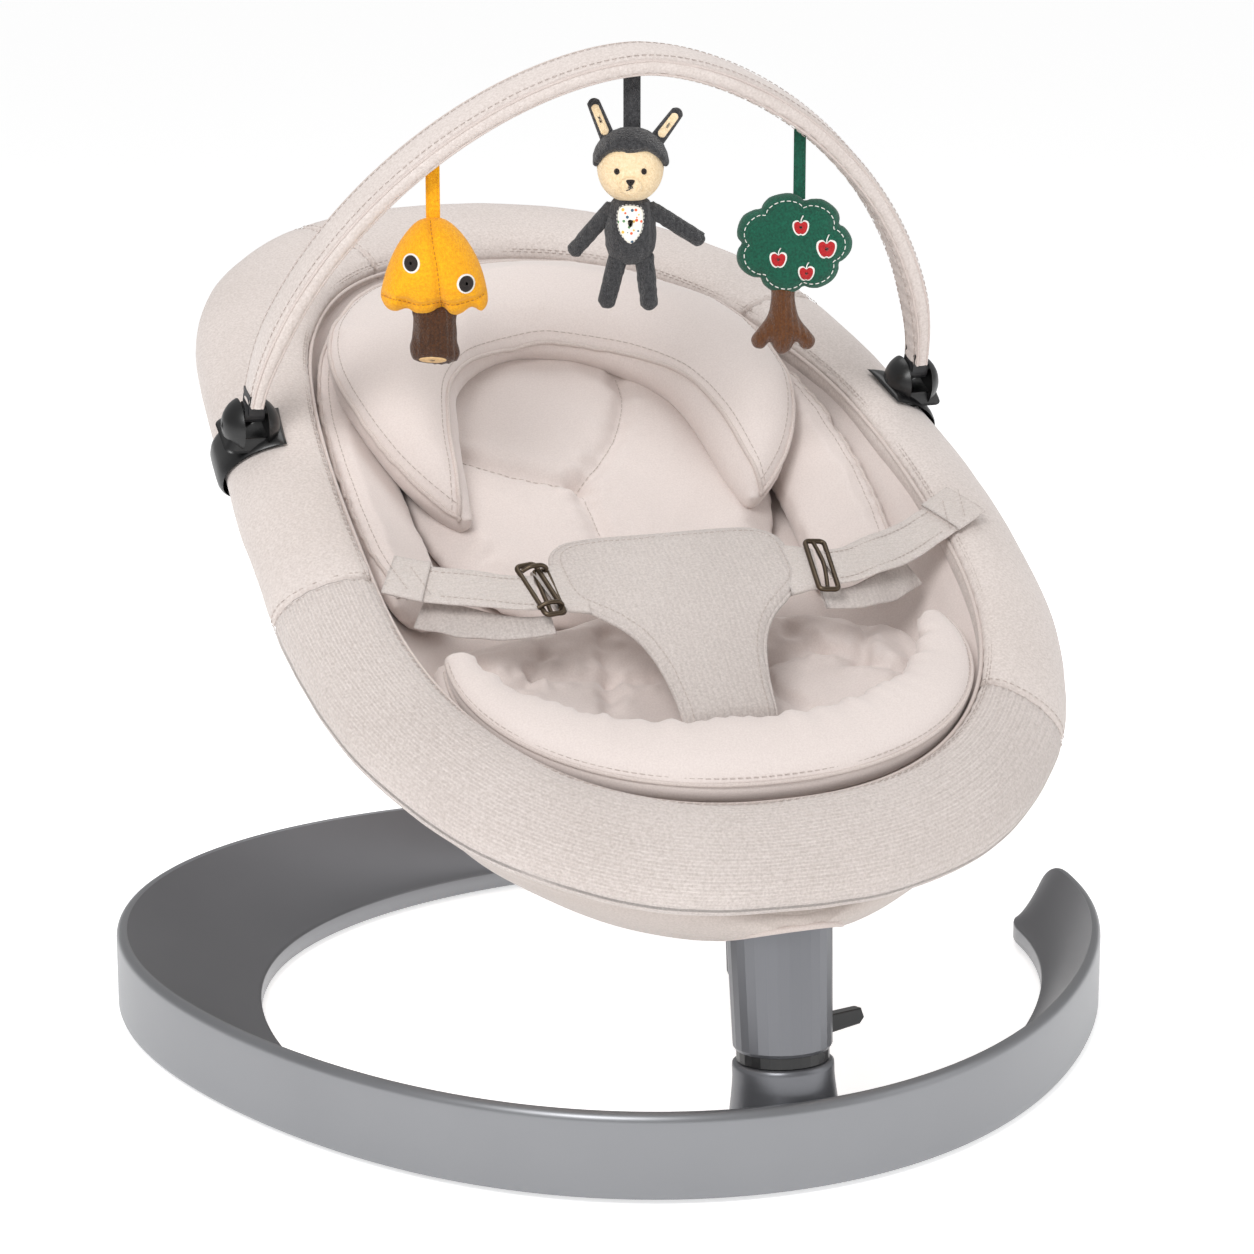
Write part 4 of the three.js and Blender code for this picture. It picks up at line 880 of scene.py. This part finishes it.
def make_belts():
    for side, word in [(-1, "left"), (1, "right")]:
        far = ([(-166, 223, 15), (-186, 234, 14)] if side < 0 else
               [(166, 224, 16), (185, 233, 18), (200, 240, 21.5), (216, 248, 24)])
        line = smooth_loop([(side * 99, 201, 20), (side * 118, 204, 20), (side * 140, 212, 18.5),
                            *far], 2.5, closed=False)
        line = ripple(line, 1.2, 26, side * 2.0)
        across = np.tile([0.22 * side, 1.0, 0.0], (len(line), 1))
        halves = np.full(len(line), 15.5)
        belt = skin(f"belt_{word}", strap_grid(line, halves, np.full(len(line), 2.6), across),
                    SEAT, "webbing", "seat")
        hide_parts(f"waist_belt_{word}")
        fold = line[-11:] + [0, 0, 2.1]
        tab = strap_grid(fold, np.full(len(fold), 17.5), np.full(len(fold), 3.4),
                         across[-11:])
        skin(f"belt_tab_{word}", tab, SEAT, "webbing", "seat")
        for k, off in enumerate((-12.5, 12.5)):
            edge = line + np.array([0.22 * side, 1.0, 0]) / math.hypot(0.22, 1) * off + [0, 0, 1.5]
            stitches(f"belt_stitch_{word}_{k}", edge[:-10], SEAT, "thread", "seat",
                     dash=2.4, gap=1.6, radius=0.28)
        cross = np.array([0.22 * side, 1.0, 0]) / math.hypot(0.22, 1)
        for k, back in enumerate((2, 8)):
            row = np.array([fold[back] + cross * t + [0, 0, 1.95]
                            for t in np.linspace(-15, 15, 14)])
            stitches(f"belt_tab_stitch_{word}_{k}", row, SEAT, "thread", "seat",
                     dash=2.4, gap=1.6, radius=0.28)
        wing = smooth_loop([(side * 70, 206, 16.5), (side * 82, 205, 17.5), (side * 93, 203, 18)],
                           2.5, closed=False)
        across = np.tile([0.1 * side, 1.0, 0.0], (len(wing), 1))
        skin(f"buckle_wrap_{word}", strap_grid(wing, np.linspace(24, 18.5, len(wing)),
                                               np.full(len(wing), 5.0), across),
             SEAT, "webbing", "seat")
        under = smooth_loop([(side * 92, 182, 10), (side * 118, 184, 8), (side * 145, 196, 5),
                             (side * 168, 214, 1)], 3, closed=False)
        across = np.tile([0.3 * side, 1.0, 0.15], (len(under), 1))
        skin(f"belt_wing_{word}", strap_grid(ripple(under, 2.0, 22, 5.0),
                                             np.linspace(7, 13, len(under)),
                                             np.full(len(under), 2.4), across),
             SEAT, "harness", "seat")


def rounded_frame(width, height, corner, count=10):
    points = []
    for cx, cy, start in [(1, 1, 0), (-1, 1, 90), (-1, -1, 180), (1, -1, 270)]:
        for k in range(count):
            a = math.radians(start + 90 * k / (count - 1))
            points.append((cx * (width / 2 - corner) + corner * math.cos(a),
                           cy * (height / 2 - corner) + corner * math.sin(a)))
    return np.array(points)


def make_buckles():
    for word, side, node in [("loop", 1, "loop_buckle"), ("hook", -1, "hook_buckle")]:
        lean = math.radians(-8 * side)
        turn = np.array([[math.cos(lean), -math.sin(lean)], [math.sin(lean), math.cos(lean)]])
        outline = rounded_frame(13, 46, 3.2) @ turn.T
        path = np.column_stack([outline + [side * 96, 203], np.full(len(outline), 21.0)])
        main = cord_piece(f"{word}_frame", path, 1.7, SEAT, "brass", "seat",
                          closed=True, sides=12)
        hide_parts(node)
        if word == "hook":
            for k, off in enumerate((-17, 17)):
                claw = np.array([(-103, 203 + off, 21.5), (-98, 203 + off, 25),
                                 (-91, 203 + off, 25.5),
                                 (-87, 203 + off, 22.5), (-88, 203 + off, 19)])
                cord_piece(f"hook_claw_{k}", smooth_loop(claw, 1.2, closed=False), 1.5, SEAT,
                           "brass", "seat", sides=10)
            inner = np.column_stack([rounded_frame(9, 40, 2.4) + [-90, 202],
                                     np.full(40, 19.0)])
            cord_piece("hook_ring", inner, 1.4, SEAT, "brass", "seat",
                       closed=True, sides=10)
        else:
            post = np.array([(-1, -23, 21), (1, 0, 22.5), (-1, 23, 21)])
            post[:, :2] = post[:, :2] @ turn.T + [96, 203]
            cord_piece("loop_post", smooth_loop(post, 3, closed=False), 1.4, SEAT, "brass",
                       "seat", sides=10)


# ---------------------------------------------------------------- toy bar
def arch_line(turns, grow=0.0, offset=0.0):
    """Points of the arch in the bar's frame: grow moves out from the arch, offset sideways."""
    def at(turn):
        return np.stack([236 * power_of(np.cos(turn), 1.16), 0 * turn,
                         239 * np.abs(np.sin(turn)) ** 1.16], axis=-1)
    along = at(turns + 0.01) - at(turns - 0.01)
    along /= np.linalg.norm(along, axis=-1, keepdims=True)
    out = np.stack([along[..., 2], 0 * turns, -along[..., 0]], axis=-1)
    return at(turns) + out * np.asarray(grow)[..., None] + np.array([0, 1, 0]) * np.asarray(
        offset)[..., None]


def clip_share(side):
    shares = np.linspace(0, 1, 2000, endpoint=False)
    line = rim_at(shares)
    return shares[np.argmin(np.abs(line[:, 1] - 388) + 1000 * (line[:, 0] * side < 0))]


def make_clips():
    """Moulded clips: a band that hugs the rim's outside and two domed cheeks on its top."""
    for side, word in [(-1, "left"), (1, "right")]:
        share = clip_share(side)
        across = np.array([-21.5, -21, -19, -15, -8, 0, 8, 15, 19, 21, 21.5])
        shares = share + across / RIM_LENGTH
        turns = np.radians(np.linspace(96, -106, 60))
        round_off = 1 - (np.abs(across) / 21.5) ** 6
        thick = (2.7 + 3.0 * round_off)[:, None] * np.ones((1, 60))
        ends = np.minimum(np.arange(60), np.arange(59, -1, -1)) / 3
        thick = 2.7 + (thick - 2.7) * np.sqrt(np.clip(1 - (1 - np.clip(ends, 0, 1)) ** 2, 0, 1))
        outer = rim_grid(shares, turns, 0, None, thick)
        inner = rim_grid(shares, turns, 2.6)
        band = skin(f"clip_band_{word}", np.concatenate([outer, inner[:, ::-1]], axis=1), SEAT,
                    "gloss", "seat")
        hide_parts(f"bar_clip_{word}")
        for tag, way in [("inner", -side), ("outer", side)]:
            turn = np.linspace(0, 2 * math.pi, 48, endpoint=False)
            rings = []
            for tilt in np.radians([24.5, 26, 32, 40, 50, 60, 70, 80, 88]):
                reach, radius = 19 * math.sin(tilt), 19 * math.cos(tilt)
                rings.append(np.stack([side * 236 + way * reach + 0 * turn,
                                       388 + 1.05 * radius * np.cos(turn),
                                       13 + radius * np.sin(turn)], axis=1))
            skin(f"clip_cheek_{tag}_{word}", np.array(rings), SEAT, "gloss", "seat")
        foot = np.array([(side * 236, 388, n) for n in (4, 6, 9, 12, 13)], float)
        rings = []
        for (x, s, n), grow in zip(foot, (22, 21, 19, 17.4, 16.4)):
            rings.append(np.column_stack([rounded_frame(grow * 1.75, grow * 1.6, 6) + [x, s],
                                          np.full(40, n)]))
        skin(f"clip_saddle_{word}", np.array(rings), SEAT, "gloss", "seat")


def make_bar():
    turns = np.linspace(0.05, math.pi - 0.05, 330)
    section = np.linspace(0, 2 * math.pi, 40, endpoint=False)
    run = np.linspace(0, 1, len(turns))
    taper = 0.72 + 0.28 * smoothstep(np.minimum(run, 1 - run), 0, 0.09)
    run_mm = run * 640
    y = np.cos(section)[None, :]
    z = np.sin(section)[None, :]
    inner = np.clip(-z, 0, 1)
    wrinkle = inner * (np.sin(run_mm * 0.55 + 1.4 * np.sin(run_mm * 0.07)) * 0.7)[:, None]
    seams = sum(np.exp(-((section - a) / 0.09) ** 2) for a in (0.62, math.pi - 0.62,
                                                              math.pi + 0.62, 2 * math.pi - 0.62))
    half_y = 15.5 * power_of(y, 0.62) * taper[:, None]
    half_z = (7.2 * power_of(z, 0.8) + wrinkle * np.sign(z)) * taper[:, None]
    half_z = half_z * (1 - 0.10 * seams[None, :])
    half_y = half_y * (1 - 0.04 * seams[None, :])
    base = np.repeat(turns[:, None], len(section), axis=1)
    grid = arch_line(base, half_z, half_y)
    grid += wobble(grid, 46, 3.9).reshape(grid.shape[:2])[..., None] * [0.3, 0.5, 0.5]
    piece = skin("bar_padding", grid, BAR, "knit", "toy_bar")
    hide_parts("bar_sleeve")
    for k, (up, off) in enumerate([(4.6, -13.6), (4.6, 13.6), (-4.6, -13.6), (-4.6, 13.6)]):
        line = arch_line(turns, up * taper, off * taper)
        cord_piece(f"bar_piping_{k}", line, 1.0, BAR, "piping", "toy_bar")
        row = arch_line(turns, (7.0 if up > 0 else -7.0) * taper, off * 0.72 * taper)
        stitches(f"bar_stitch_{k}", row, BAR, "thread", "toy_bar", radius=0.28)


# ---------------------------------------------------------------- toys
def toy_frame(joint):
    at = next(j["pos_m"] for j in frame["joints"] if j["name"] == joint)
    face = Matrix(((1, 0, 0, 0), (0, 0, -1, 0), (0, 1, 0, 0), (0, 0, 0, 1)))
    return Matrix.Translation(at) @ Matrix.Rotation(math.radians(-21), 4, "Z") @ face @ MM


def flat(level=0.0):
    return lambda x, s: np.full(np.shape(x), float(level))


def patch(name, outline, target, place, look, body, height=0.9, spacing=1.0):
    """An applique laid onto the front of a toy, a little domed."""
    loop = smooth_loop(outline, spacing)
    centre = loop.mean(0)
    rings = []
    tree = local_tree(target, place)
    for share, lift in [(1.0, -0.4), (0.98, height * 0.55), (0.9, height * 0.9), (0.7, height),
                        (0.45, height), (0.2, height)]:
        ring = []
        for x, s in centre + (loop - centre) * share:
            hit, normal, _, _ = tree.ray_cast(Vector((x, s, 300)), Vector((0, 0, -1)))
            point = hit + normal * lift if hit is not None else Vector((x, s, lift))
            ring.append(list(point))
        rings.append(ring)
    return skin(name, np.array(rings), place, look, body)


def disc(x, s, rx, ry=None, count=16):
    turn = np.linspace(0, 2 * math.pi, count, endpoint=False)
    return np.stack([x + rx * np.cos(turn), s + (ry or rx) * np.sin(turn)], axis=1)


def limb(a, b, radius_a, radius_b, count=9):
    """A capsule outline from a to b."""
    a, b = np.array(a, float), np.array(b, float)
    way = (b - a) / np.linalg.norm(b - a)
    angle = math.atan2(way[1], way[0])
    ends = []
    for centre, radius, start in [(b, radius_b, angle - math.pi / 2),
                                  (a, radius_a, angle + math.pi / 2)]:
        for k in range(count):
            t = start + math.pi * k / (count - 1)
            ends.append(centre + radius * np.array([math.cos(t), math.sin(t)]))
    return np.array(ends)


def stuffed(name, outline, place, look, body, level, top, bottom, edge, spacing,
            crown=0.0, wrinkles=None, stands_for=None):
    """A small stuffed toy piece: a pillow, wrinkled, hiding the model part it stands for."""
    piece = pillow(name, outline, place, look, body, flat(level), top, bottom, edge,
                   spacing=spacing, crown=crown)
    refine(piece)
    if wrinkles:
        shape(piece, place, creases(*wrinkles))
    if stands_for:
        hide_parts(stands_for)
    return piece


def hang_strap(name, place, width, length, look, body, node):
    line = np.stack([np.zeros(14), np.linspace(6, -length - 2, 14), np.zeros(14)], axis=1)
    across = np.tile([1.0, 0.0, 0.0], (14, 1))
    piece = skin(name, strap_grid(line, np.full(14, width / 2), np.full(14, 1.8), across), place,
                 look, body)
    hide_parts(node)
    for k, off in enumerate((-width / 2 + 1.4, width / 2 - 1.4)):
        row = line[4:] + [off, 0, 1.0]
        stitches(f"{name}_stitch_{k}", row, place, look, body, dash=1.8, gap=1.2, radius=0.25)
    return piece


def make_mushroom():
    place = toy_frame("mushroom_swing")
    body, slot = "toy_mushroom", "yellow_plush"
    hang_strap("mushroom_ribbon", place, 9, 34, "yellow", body, "mushroom_strap")
    bell = [(0, -33), (9, -35), (18, -43), (26, -55), (31, -67), (34, -80), (34, -88), (30, -93),
            (24, -90), (18, -94), (11, -96), (4, -92), (-3, -96), (-11, -95), (-17, -91),
            (-24, -93), (-30, -91), (-34, -84), (-33, -76), (-29, -63), (-22, -49), (-11, -36)]
    cap = pillow("mushroom_bell", bell, place, "yellow", body, flat(), 19, 19, 24,
                 spacing=3.0, crown=3)
    refine(cap)
    seam = np.array([(-2, -33), (1, -50), (4, -70), (5, -96)])
    shape(cap, place, seam_moves([smooth_loop(seam, 3, closed=False)], 2.6, 2.6, pucker=0.8))
    hem = smooth_loop([(-33, -82), (-22, -84), (-10, -87), (2, -86), (14, -87), (26, -84),
                       (34, -80)], 2, closed=False)
    shape(cap, place, seam_moves([hem], 1.8, 2.2, pucker=0.9))
    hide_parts("mushroom_cap")
    seam_line = drape(smooth_loop(seam, 2, closed=False)[1:-1], cap, place, 0.2)
    stitches("mushroom_seam_stitch", seam_line,
             place, "yellow_dark", body, dash=2.0, gap=1.4, radius=0.3)
    stitches("mushroom_hem_stitch", drape(hem, cap, place, 0.2), place, "yellow_dark", body,
             dash=2.0, gap=1.4, radius=0.3)
    for k, (x, s) in enumerate([(-13, -60), (21, -73)]):
        patch(f"mushroom_spot_rim_{k}", disc(x, s, 5.6, 6.2), cap, place, "white", body, 0.7)
        patch(f"mushroom_spot_{k}", disc(x, s, 4.5, 5.1), cap, place, "black_thread", body,
              1.2)
    column = [(-12, -90), (12, -90), (14, -100), (14, -112), (16, -120), (13, -125), (4, -127),
              (-5, -126), (-13, -124), (-16, -118), (-14, -108), (-13, -98)]
    stem = stuffed("mushroom_foot", column, place, "dark_brown", body, 0, 11, 11,
                   13, 3.0, wrinkles=(9, 0.6, 2.0, (2.0, 0.5)), stands_for="mushroom_stem")
    patch("mushroom_sole", disc(-1, -123, 9, 2.2), stem, place, "tan", body, 0.5)


def make_animal():
    place = toy_frame("animal_swing")
    body, slot = "toy_animal", "charcoal_plush"
    hang_strap("animal_ribbon", place, 11, 34, "charcoal", body, "animal_strap")
    head = stuffed("animal_face", superellipse(21.5, -81, -35, 0.95, centre=-1), place, "cream",
                   body, 2, 16, 13, 19, 2.6, crown=2, stands_for="animal_head")
    stuffed("animal_nape", superellipse(21.6, -81, -35, 0.95, centre=-1), place, "hood", body,
            -1.5, 0.5, 13, 19, 2.6)
    hood_line = [(-1, -33), (9, -35), (17, -40), (22, -48), (23.5, -56), (20.5, -58), (17, -54),
                 (11, -51), (5, -52), (-1, -54), (-7, -52), (-13, -51), (-18, -54), (-22, -58),
                 (-25, -56), (-24, -48), (-19, -40), (-11, -35)]
    stuffed("animal_hood", hood_line, place, "hood", body, 1.5, 19.5, 15, 13, 2.4,
            crown=1.5, wrinkles=(7, 0.5, 3.0))
    for k, (a, b) in enumerate([((-15, -41), (-24, -19)), ((16, -41), (28, -25))]):
        ear = stuffed(f"animal_ear_{k}", limb(a, b, 5.2, 4.4), place, "hood", body, 1,
                      4.5, 4.5, 5, 2.2)
        a, b = np.array(a, float), np.array(b, float)
        patch(f"animal_ear_lining_{k}", limb(a + (b - a) * 0.25, a + (b - a) * 0.92, 2.6, 2.4), ear,
              place, "cream", body, 0.5)
    trunk = stuffed("animal_torso", superellipse(16.5, -121, -76, 0.72, centre=-1), place,
                    "charcoal", body, 0, 11, 11, 13, 2.8, crown=1,
                    wrinkles=(10, 0.5, 5.0), stands_for="animal_body")
    for k, (a, b, ra, rb) in enumerate([((-14, -86), (-36, -111), 5.2, 5.0),
                                        ((13, -86), (42, -104), 5.2, 5.0),
                                        ((-9, -117), (-16, -144), 6.2, 5.6),
                                        ((8, -117), (11, -145), 6.2, 5.6)]):
        stuffed(f"animal_limb_{k}", limb(a, b, ra, rb), place, "charcoal", body, 0, 5.6,
                5.6, 6, 2.4, wrinkles=(6, 0.45, k * 1.7))
    for k, x in enumerate((-9.5, 7.5)):
        patch(f"animal_eye_{k}", disc(x, -59.5, 1.7, 2.0, 12), head, place, "black_thread", body,
              0.9, 0.6)
    patch("animal_muzzle", disc(-1, -68.5, 7.2, 5.6), head, place, "cream", body, 2.2)
    nose_at = bpy.data.objects["animal_muzzle"]
    patch("animal_nose", [(-3.6, -64.6), (1.6, -64.6), (0.6, -67.4), (-1, -68.4), (-2.6, -67.4)],
          nose_at, place, "black_thread", body, 0.8, 0.6)
    mouth = smooth_loop([(-1, -68.4), (-1.2, -70.4), (-3.6, -71.4)], 0.8, closed=False)
    cord_piece("animal_mouth", drape(mouth, nose_at, place, 0.2), 0.32, place, "black_thread",
               body)
    bib = [(-8, -84), (-2, -82), (6, -84), (7, -92), (5, -100), (-1, -106), (-7, -100), (-9, -92)]
    patch("animal_bib", bib, trunk, place, "bib", body, 1.0)
    hem = drape(np.vstack([smooth_loop(bib, 1.4), bib[:1]]), trunk, place, 1.1)
    stitches("animal_bib_edge", hem, place, "white", body, dash=1.4, gap=1.0, radius=0.22)


def make_tree():
    place = toy_frame("tree_swing")
    body, slot = "toy_tree", "green_plush"
    hang_strap("tree_ribbon", place, 8, 38, "green", body, "tree_strap")
    centre = np.array([-4.0, -69.0])
    outline = []
    for k in range(84):
        turn = 2 * math.pi * k / 84 + 0.3
        lobe = abs(math.cos(3.5 * turn))
        reach = 33 + 6.0 * lobe ** 0.7
        outline.append(centre + [reach * math.cos(turn), reach * 0.86 * math.sin(turn)])
    crown = stuffed("tree_cloud", outline, place, "green", body, 0, 12, 12, 12, 3.0,
                    crown=3, wrinkles=(16, 0.6, 1.4), stands_for="tree_crown")
    inset = smooth_loop([centre + (np.array(p) - centre) * 0.87 for p in outline], 1.6)
    stitches("tree_running_stitch", drape(np.vstack([inset, inset[:1]]), crown, place, 0.2), place,
             "white", body, dash=2.6, gap=1.6, radius=0.36)
    for k, (x, s, size) in enumerate([(0.5, -57, 4.4), (17.5, -71, 5.4), (-14, -78, 4.6),
                                      (4.5, -87, 4.4)]):
        apple = [(x + size * u, s + size * v) for u, v in [
            (0, 0.62), (0.42, 0.92), (0.95, 0.7), (1.02, 0.05), (0.72, -0.68), (0.28, -0.98),
            (0, -0.86), (-0.28, -0.98), (-0.72, -0.68), (-1.02, 0.05), (-0.95, 0.7),
            (-0.42, 0.92)]]
        ring = np.array([(x, s) + (np.array(p) - (x, s)) * 1.22 for p in apple])
        patch(f"tree_apple_edge_{k}", ring, crown, place, "white", body, 0.5)
        patch(f"tree_apple_{k}", apple, crown, place, "red", body, 1.0)
        stalk = smooth_loop([(x, s + size * 0.7), (x + 0.4, s + size * 1.25),
                             (x + 1.6, s + size * 1.7)], 0.8, closed=False)
        cord_piece(f"tree_stalk_{k}", drape(stalk, crown, place, 0.5), 0.4, place, "white", body)
    foot = [(-17, -94), (-3, -94), (-2, -106), (1, -118), (8, -127), (12, -133), (9, -139),
            (3, -139), (-1, -134), (-5, -140), (-11, -143), (-16, -139), (-18, -134), (-23, -139),
            (-29, -138), (-31, -132), (-26, -125), (-20, -116), (-18, -105)]
    stuffed("tree_bole", foot, place, "brown", body, 0, 8, 8, 9, 2.8,
            crown=2, stands_for="tree_trunk")


# ---------------------------------------------------------------- base and stem
def ring_outer(angle):
    return 340 + 16 * np.cos(np.radians(3 * (angle + 99.2)))


def ring_width(angle):
    off = np.abs(np.mod(angle - 143.5 + 180, 360) - 180)
    swell = np.where(off < 85, np.cos(np.radians(off * 90 / 85)) ** 2, 0)
    hub = np.abs(np.mod(angle + 92.4 + 180, 360) - 180)
    boss = np.where(hub < 18, 42 * np.cos(np.radians(np.minimum(hub, 18) * 5)) ** 2, 0)
    return 40 + 66 * swell + boss


def make_ring():
    ends = np.array([0, 0.15, 0.4, 0.8, 1.3, 2, 3, 4, 5.2])
    angles = np.concatenate([5 - ends, np.arange(-1.5, -297.5, -0.8), -303 + ends[::-1]])
    from_end = np.minimum(5 - angles, angles + 303)
    nose = np.sqrt(np.clip(1 - (1 - np.minimum(1, (from_end + 0.1) / 5)) ** 2, 0, 1))
    outer = ring_outer(angles) - 6 * (1 - nose)
    width = ring_width(angles) * (0.5 + 0.5 * nose)
    inner = outer - width
    low = 3.35
    top = low + (58 - low) * (0.55 + 0.45 * nose)
    lip = np.minimum(6, width * 0.3)
    columns = [(inner + 2, low + 0 * top), (outer - 2.5, low + 0 * top),
               (outer - 0.7, low + 0.7 + 0 * top), (outer, low + 2.5 + 0 * top)]
    for share in np.linspace(0.1, 1, 7):
        columns.append((outer, low + 2.5 + (top - lip - low - 2.5) * share))
    for turn in np.linspace(12, 90, 7):
        a = math.radians(turn)
        columns.append((outer - lip * (1 - math.cos(a)), top - lip * (1 - math.sin(a))))
    split = len(columns)
    for w in np.concatenate([[0.985], np.linspace(0.95, 0.03, 15)]):
        height = np.maximum(17 + (top - 17) * w ** 1.5, low + 4)
        columns.append((inner + (width - lip) * w, height))
    floor = np.maximum(17 + (top - 17) * 0.0, low + 4)
    columns += [(inner + 0.4, floor), (inner, floor - 1.2), (inner, low + 2 + 0 * top)]
    radius = np.stack([c[0] for c in columns], axis=1)
    height = np.stack([c[1] * np.ones_like(top) for c in columns], axis=1)
    turn = np.radians(angles)[:, None]
    grid = np.stack([13 + radius * np.cos(turn), 308 + radius * np.sin(turn), height], axis=2)
    piece = skin("ring_casting", grid, ROW, "ring_wall", "base")
    # The top faces take the darker copy of the alloy: painted shade on the ring's upper face.
    piece.data.materials.append(LOOK["ring_top_painted_shade"])
    cols = len(columns)
    for face in piece.data.polygons:
        column = min(v % cols for v in face.vertices)
        if split <= column < cols - 2 and len(face.vertices) == 4:
            face.material_index = 1
    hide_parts("base_ring")
    profile = [(16.5, -4.3), (29.6, -4.3), (31, -5.4), (31.2, -8), (31.2, -14), (31.6, -19),
               (32.4, -26), (33.8, -36), (35, -50), (34, -66), (16.5, -66)]
    lathe("ring_boss", profile, STEM, "column", "base", 96)


def lathe(name, profile, place, look, body, sides=72):
    p = np.asarray(profile, float)
    turn = np.linspace(0, 2 * math.pi, sides, endpoint=False)
    grid = np.stack([p[:, :1] * np.cos(turn), p[:, :1] * np.sin(turn),
                     np.repeat(p[:, 1:], sides, axis=1)], axis=2)
    return skin(name, grid, place, look, body, loop_rows=True)


def carry_over():
    looks = {"spindle": "steel", "thrust_washer": "gloss", "retaining_ring": "steel",
             "stem_column": "column", "lower_bush": "nylon", "upper_bush": "nylon",
             "recline_pin": "steel", "sway_lever": "gloss", "brake_plunger": "nylon",
             "frame_tube_foot": "tube", "frame_tube_head": "tube", "cradle_tube_front": "tube",
             "cradle_tube_rear": "tube", "chassis_beam": "nylon", "recline_pawl": "gloss",
             "pawl_spring": "steel", "bar_clip_left": "gloss", "bar_clip_right": "gloss",
             "bar_pin_left": "steel", "bar_pin_right": "steel", "bar_end_left": "nylon",
             "bar_end_right": "nylon", "bar_core": "tube"}
    for name, node in frame["nodes"].items():
        look = looks.get(name, "rubber" if name.startswith("foot_pad") else None)
        if look is None:
            continue
        node.data.materials.clear()
        node.data.materials.append(LOOK[look])
        node.data.polygons.foreach_set("use_smooth", [True] * len(node.data.polygons))
        split = node.modifiers.new("crisp", "EDGE_SPLIT")
        split.split_angle = math.radians(32)


# ---------------------------------------------------------------- studio
def make_studio():
    floor = bpy.data.meshes.new("studio_floor")
    floor.from_pydata([(-60, -60, 0), (60, -60, 0), (60, 60, 0), (-60, 60, 0)], [], [(0, 1, 2, 3)])
    plane = bpy.data.objects.new("studio_floor", floor)
    bpy.context.scene.collection.objects.link(plane)
    made, tree, shader = blank("studio_paper", 0.9)
    where = add(tree, "ShaderNodeTexCoord").outputs["Object"]
    grain = add(tree, "ShaderNodeTexNoise", {"Vector": where, "Scale": 400.0})
    tree.links.new(mixed(tree, grain.outputs["Fac"], (250, 250, 250), (254, 254, 254)),
                   shader.inputs["Base Color"])
    shader.inputs["Emission Color"].default_value = (1, 1, 1, 1)
    shader.inputs["Emission Strength"].default_value = 0.55
    floor.materials.append(made)
    world = bpy.data.worlds.new("studio_world")
    bpy.context.scene.world = world
    world.use_nodes = True
    world.node_tree.nodes["Background"].inputs["Color"].default_value = (1, 1, 1, 1)
    world.node_tree.nodes["Background"].inputs["Strength"].default_value = 0.44
    for name, at, size, power, aim in [
            ("key_light", (-1.5, -1.5, 2.2), 1.2, 48, (0, 0.25, 0.3)),
            ("fill_light", (2.1, -1.0, 1.1), 1.6, 8, (0, 0.25, 0.3)),
            ("top_light", (0.2, 0.9, 2.4), 1.6, 17, (0, 0.3, 0.3))]:
        data = bpy.data.lights.new(name, "AREA")
        data.size = size
        data.energy = power
        light = bpy.data.objects.new(name, data)
        bpy.context.scene.collection.objects.link(light)
        light.location = at
        light.rotation_euler = (Vector(aim) - Vector(at)).to_track_quat("-Z", "Y").to_euler()
    bpy.context.scene.view_settings.view_transform = "Standard"


def make_camera():
    data = bpy.data.cameras.new("camera")
    data.sensor_width = 36
    data.lens = 36 * 3500 / 1254
    data.clip_end = 50
    camera = bpy.data.objects.new("camera", data)
    bpy.context.scene.collection.objects.link(camera)
    camera.location = (-0.8078, -1.8401, 0.8316)
    camera.rotation_euler = Vector((0.3481, 0.9069, -0.2375)).to_track_quat("-Z", "Y").to_euler()
    bpy.context.scene.camera = camera


make_camera()
make_studio()
carry_over()
make_ring()
make_rim()
make_cover()
make_sling()
make_cushions()
make_bolster()
make_crotch()
make_belts()
make_buckles()
make_clips()
make_bar()
make_mushroom()
make_animal()
make_tree()
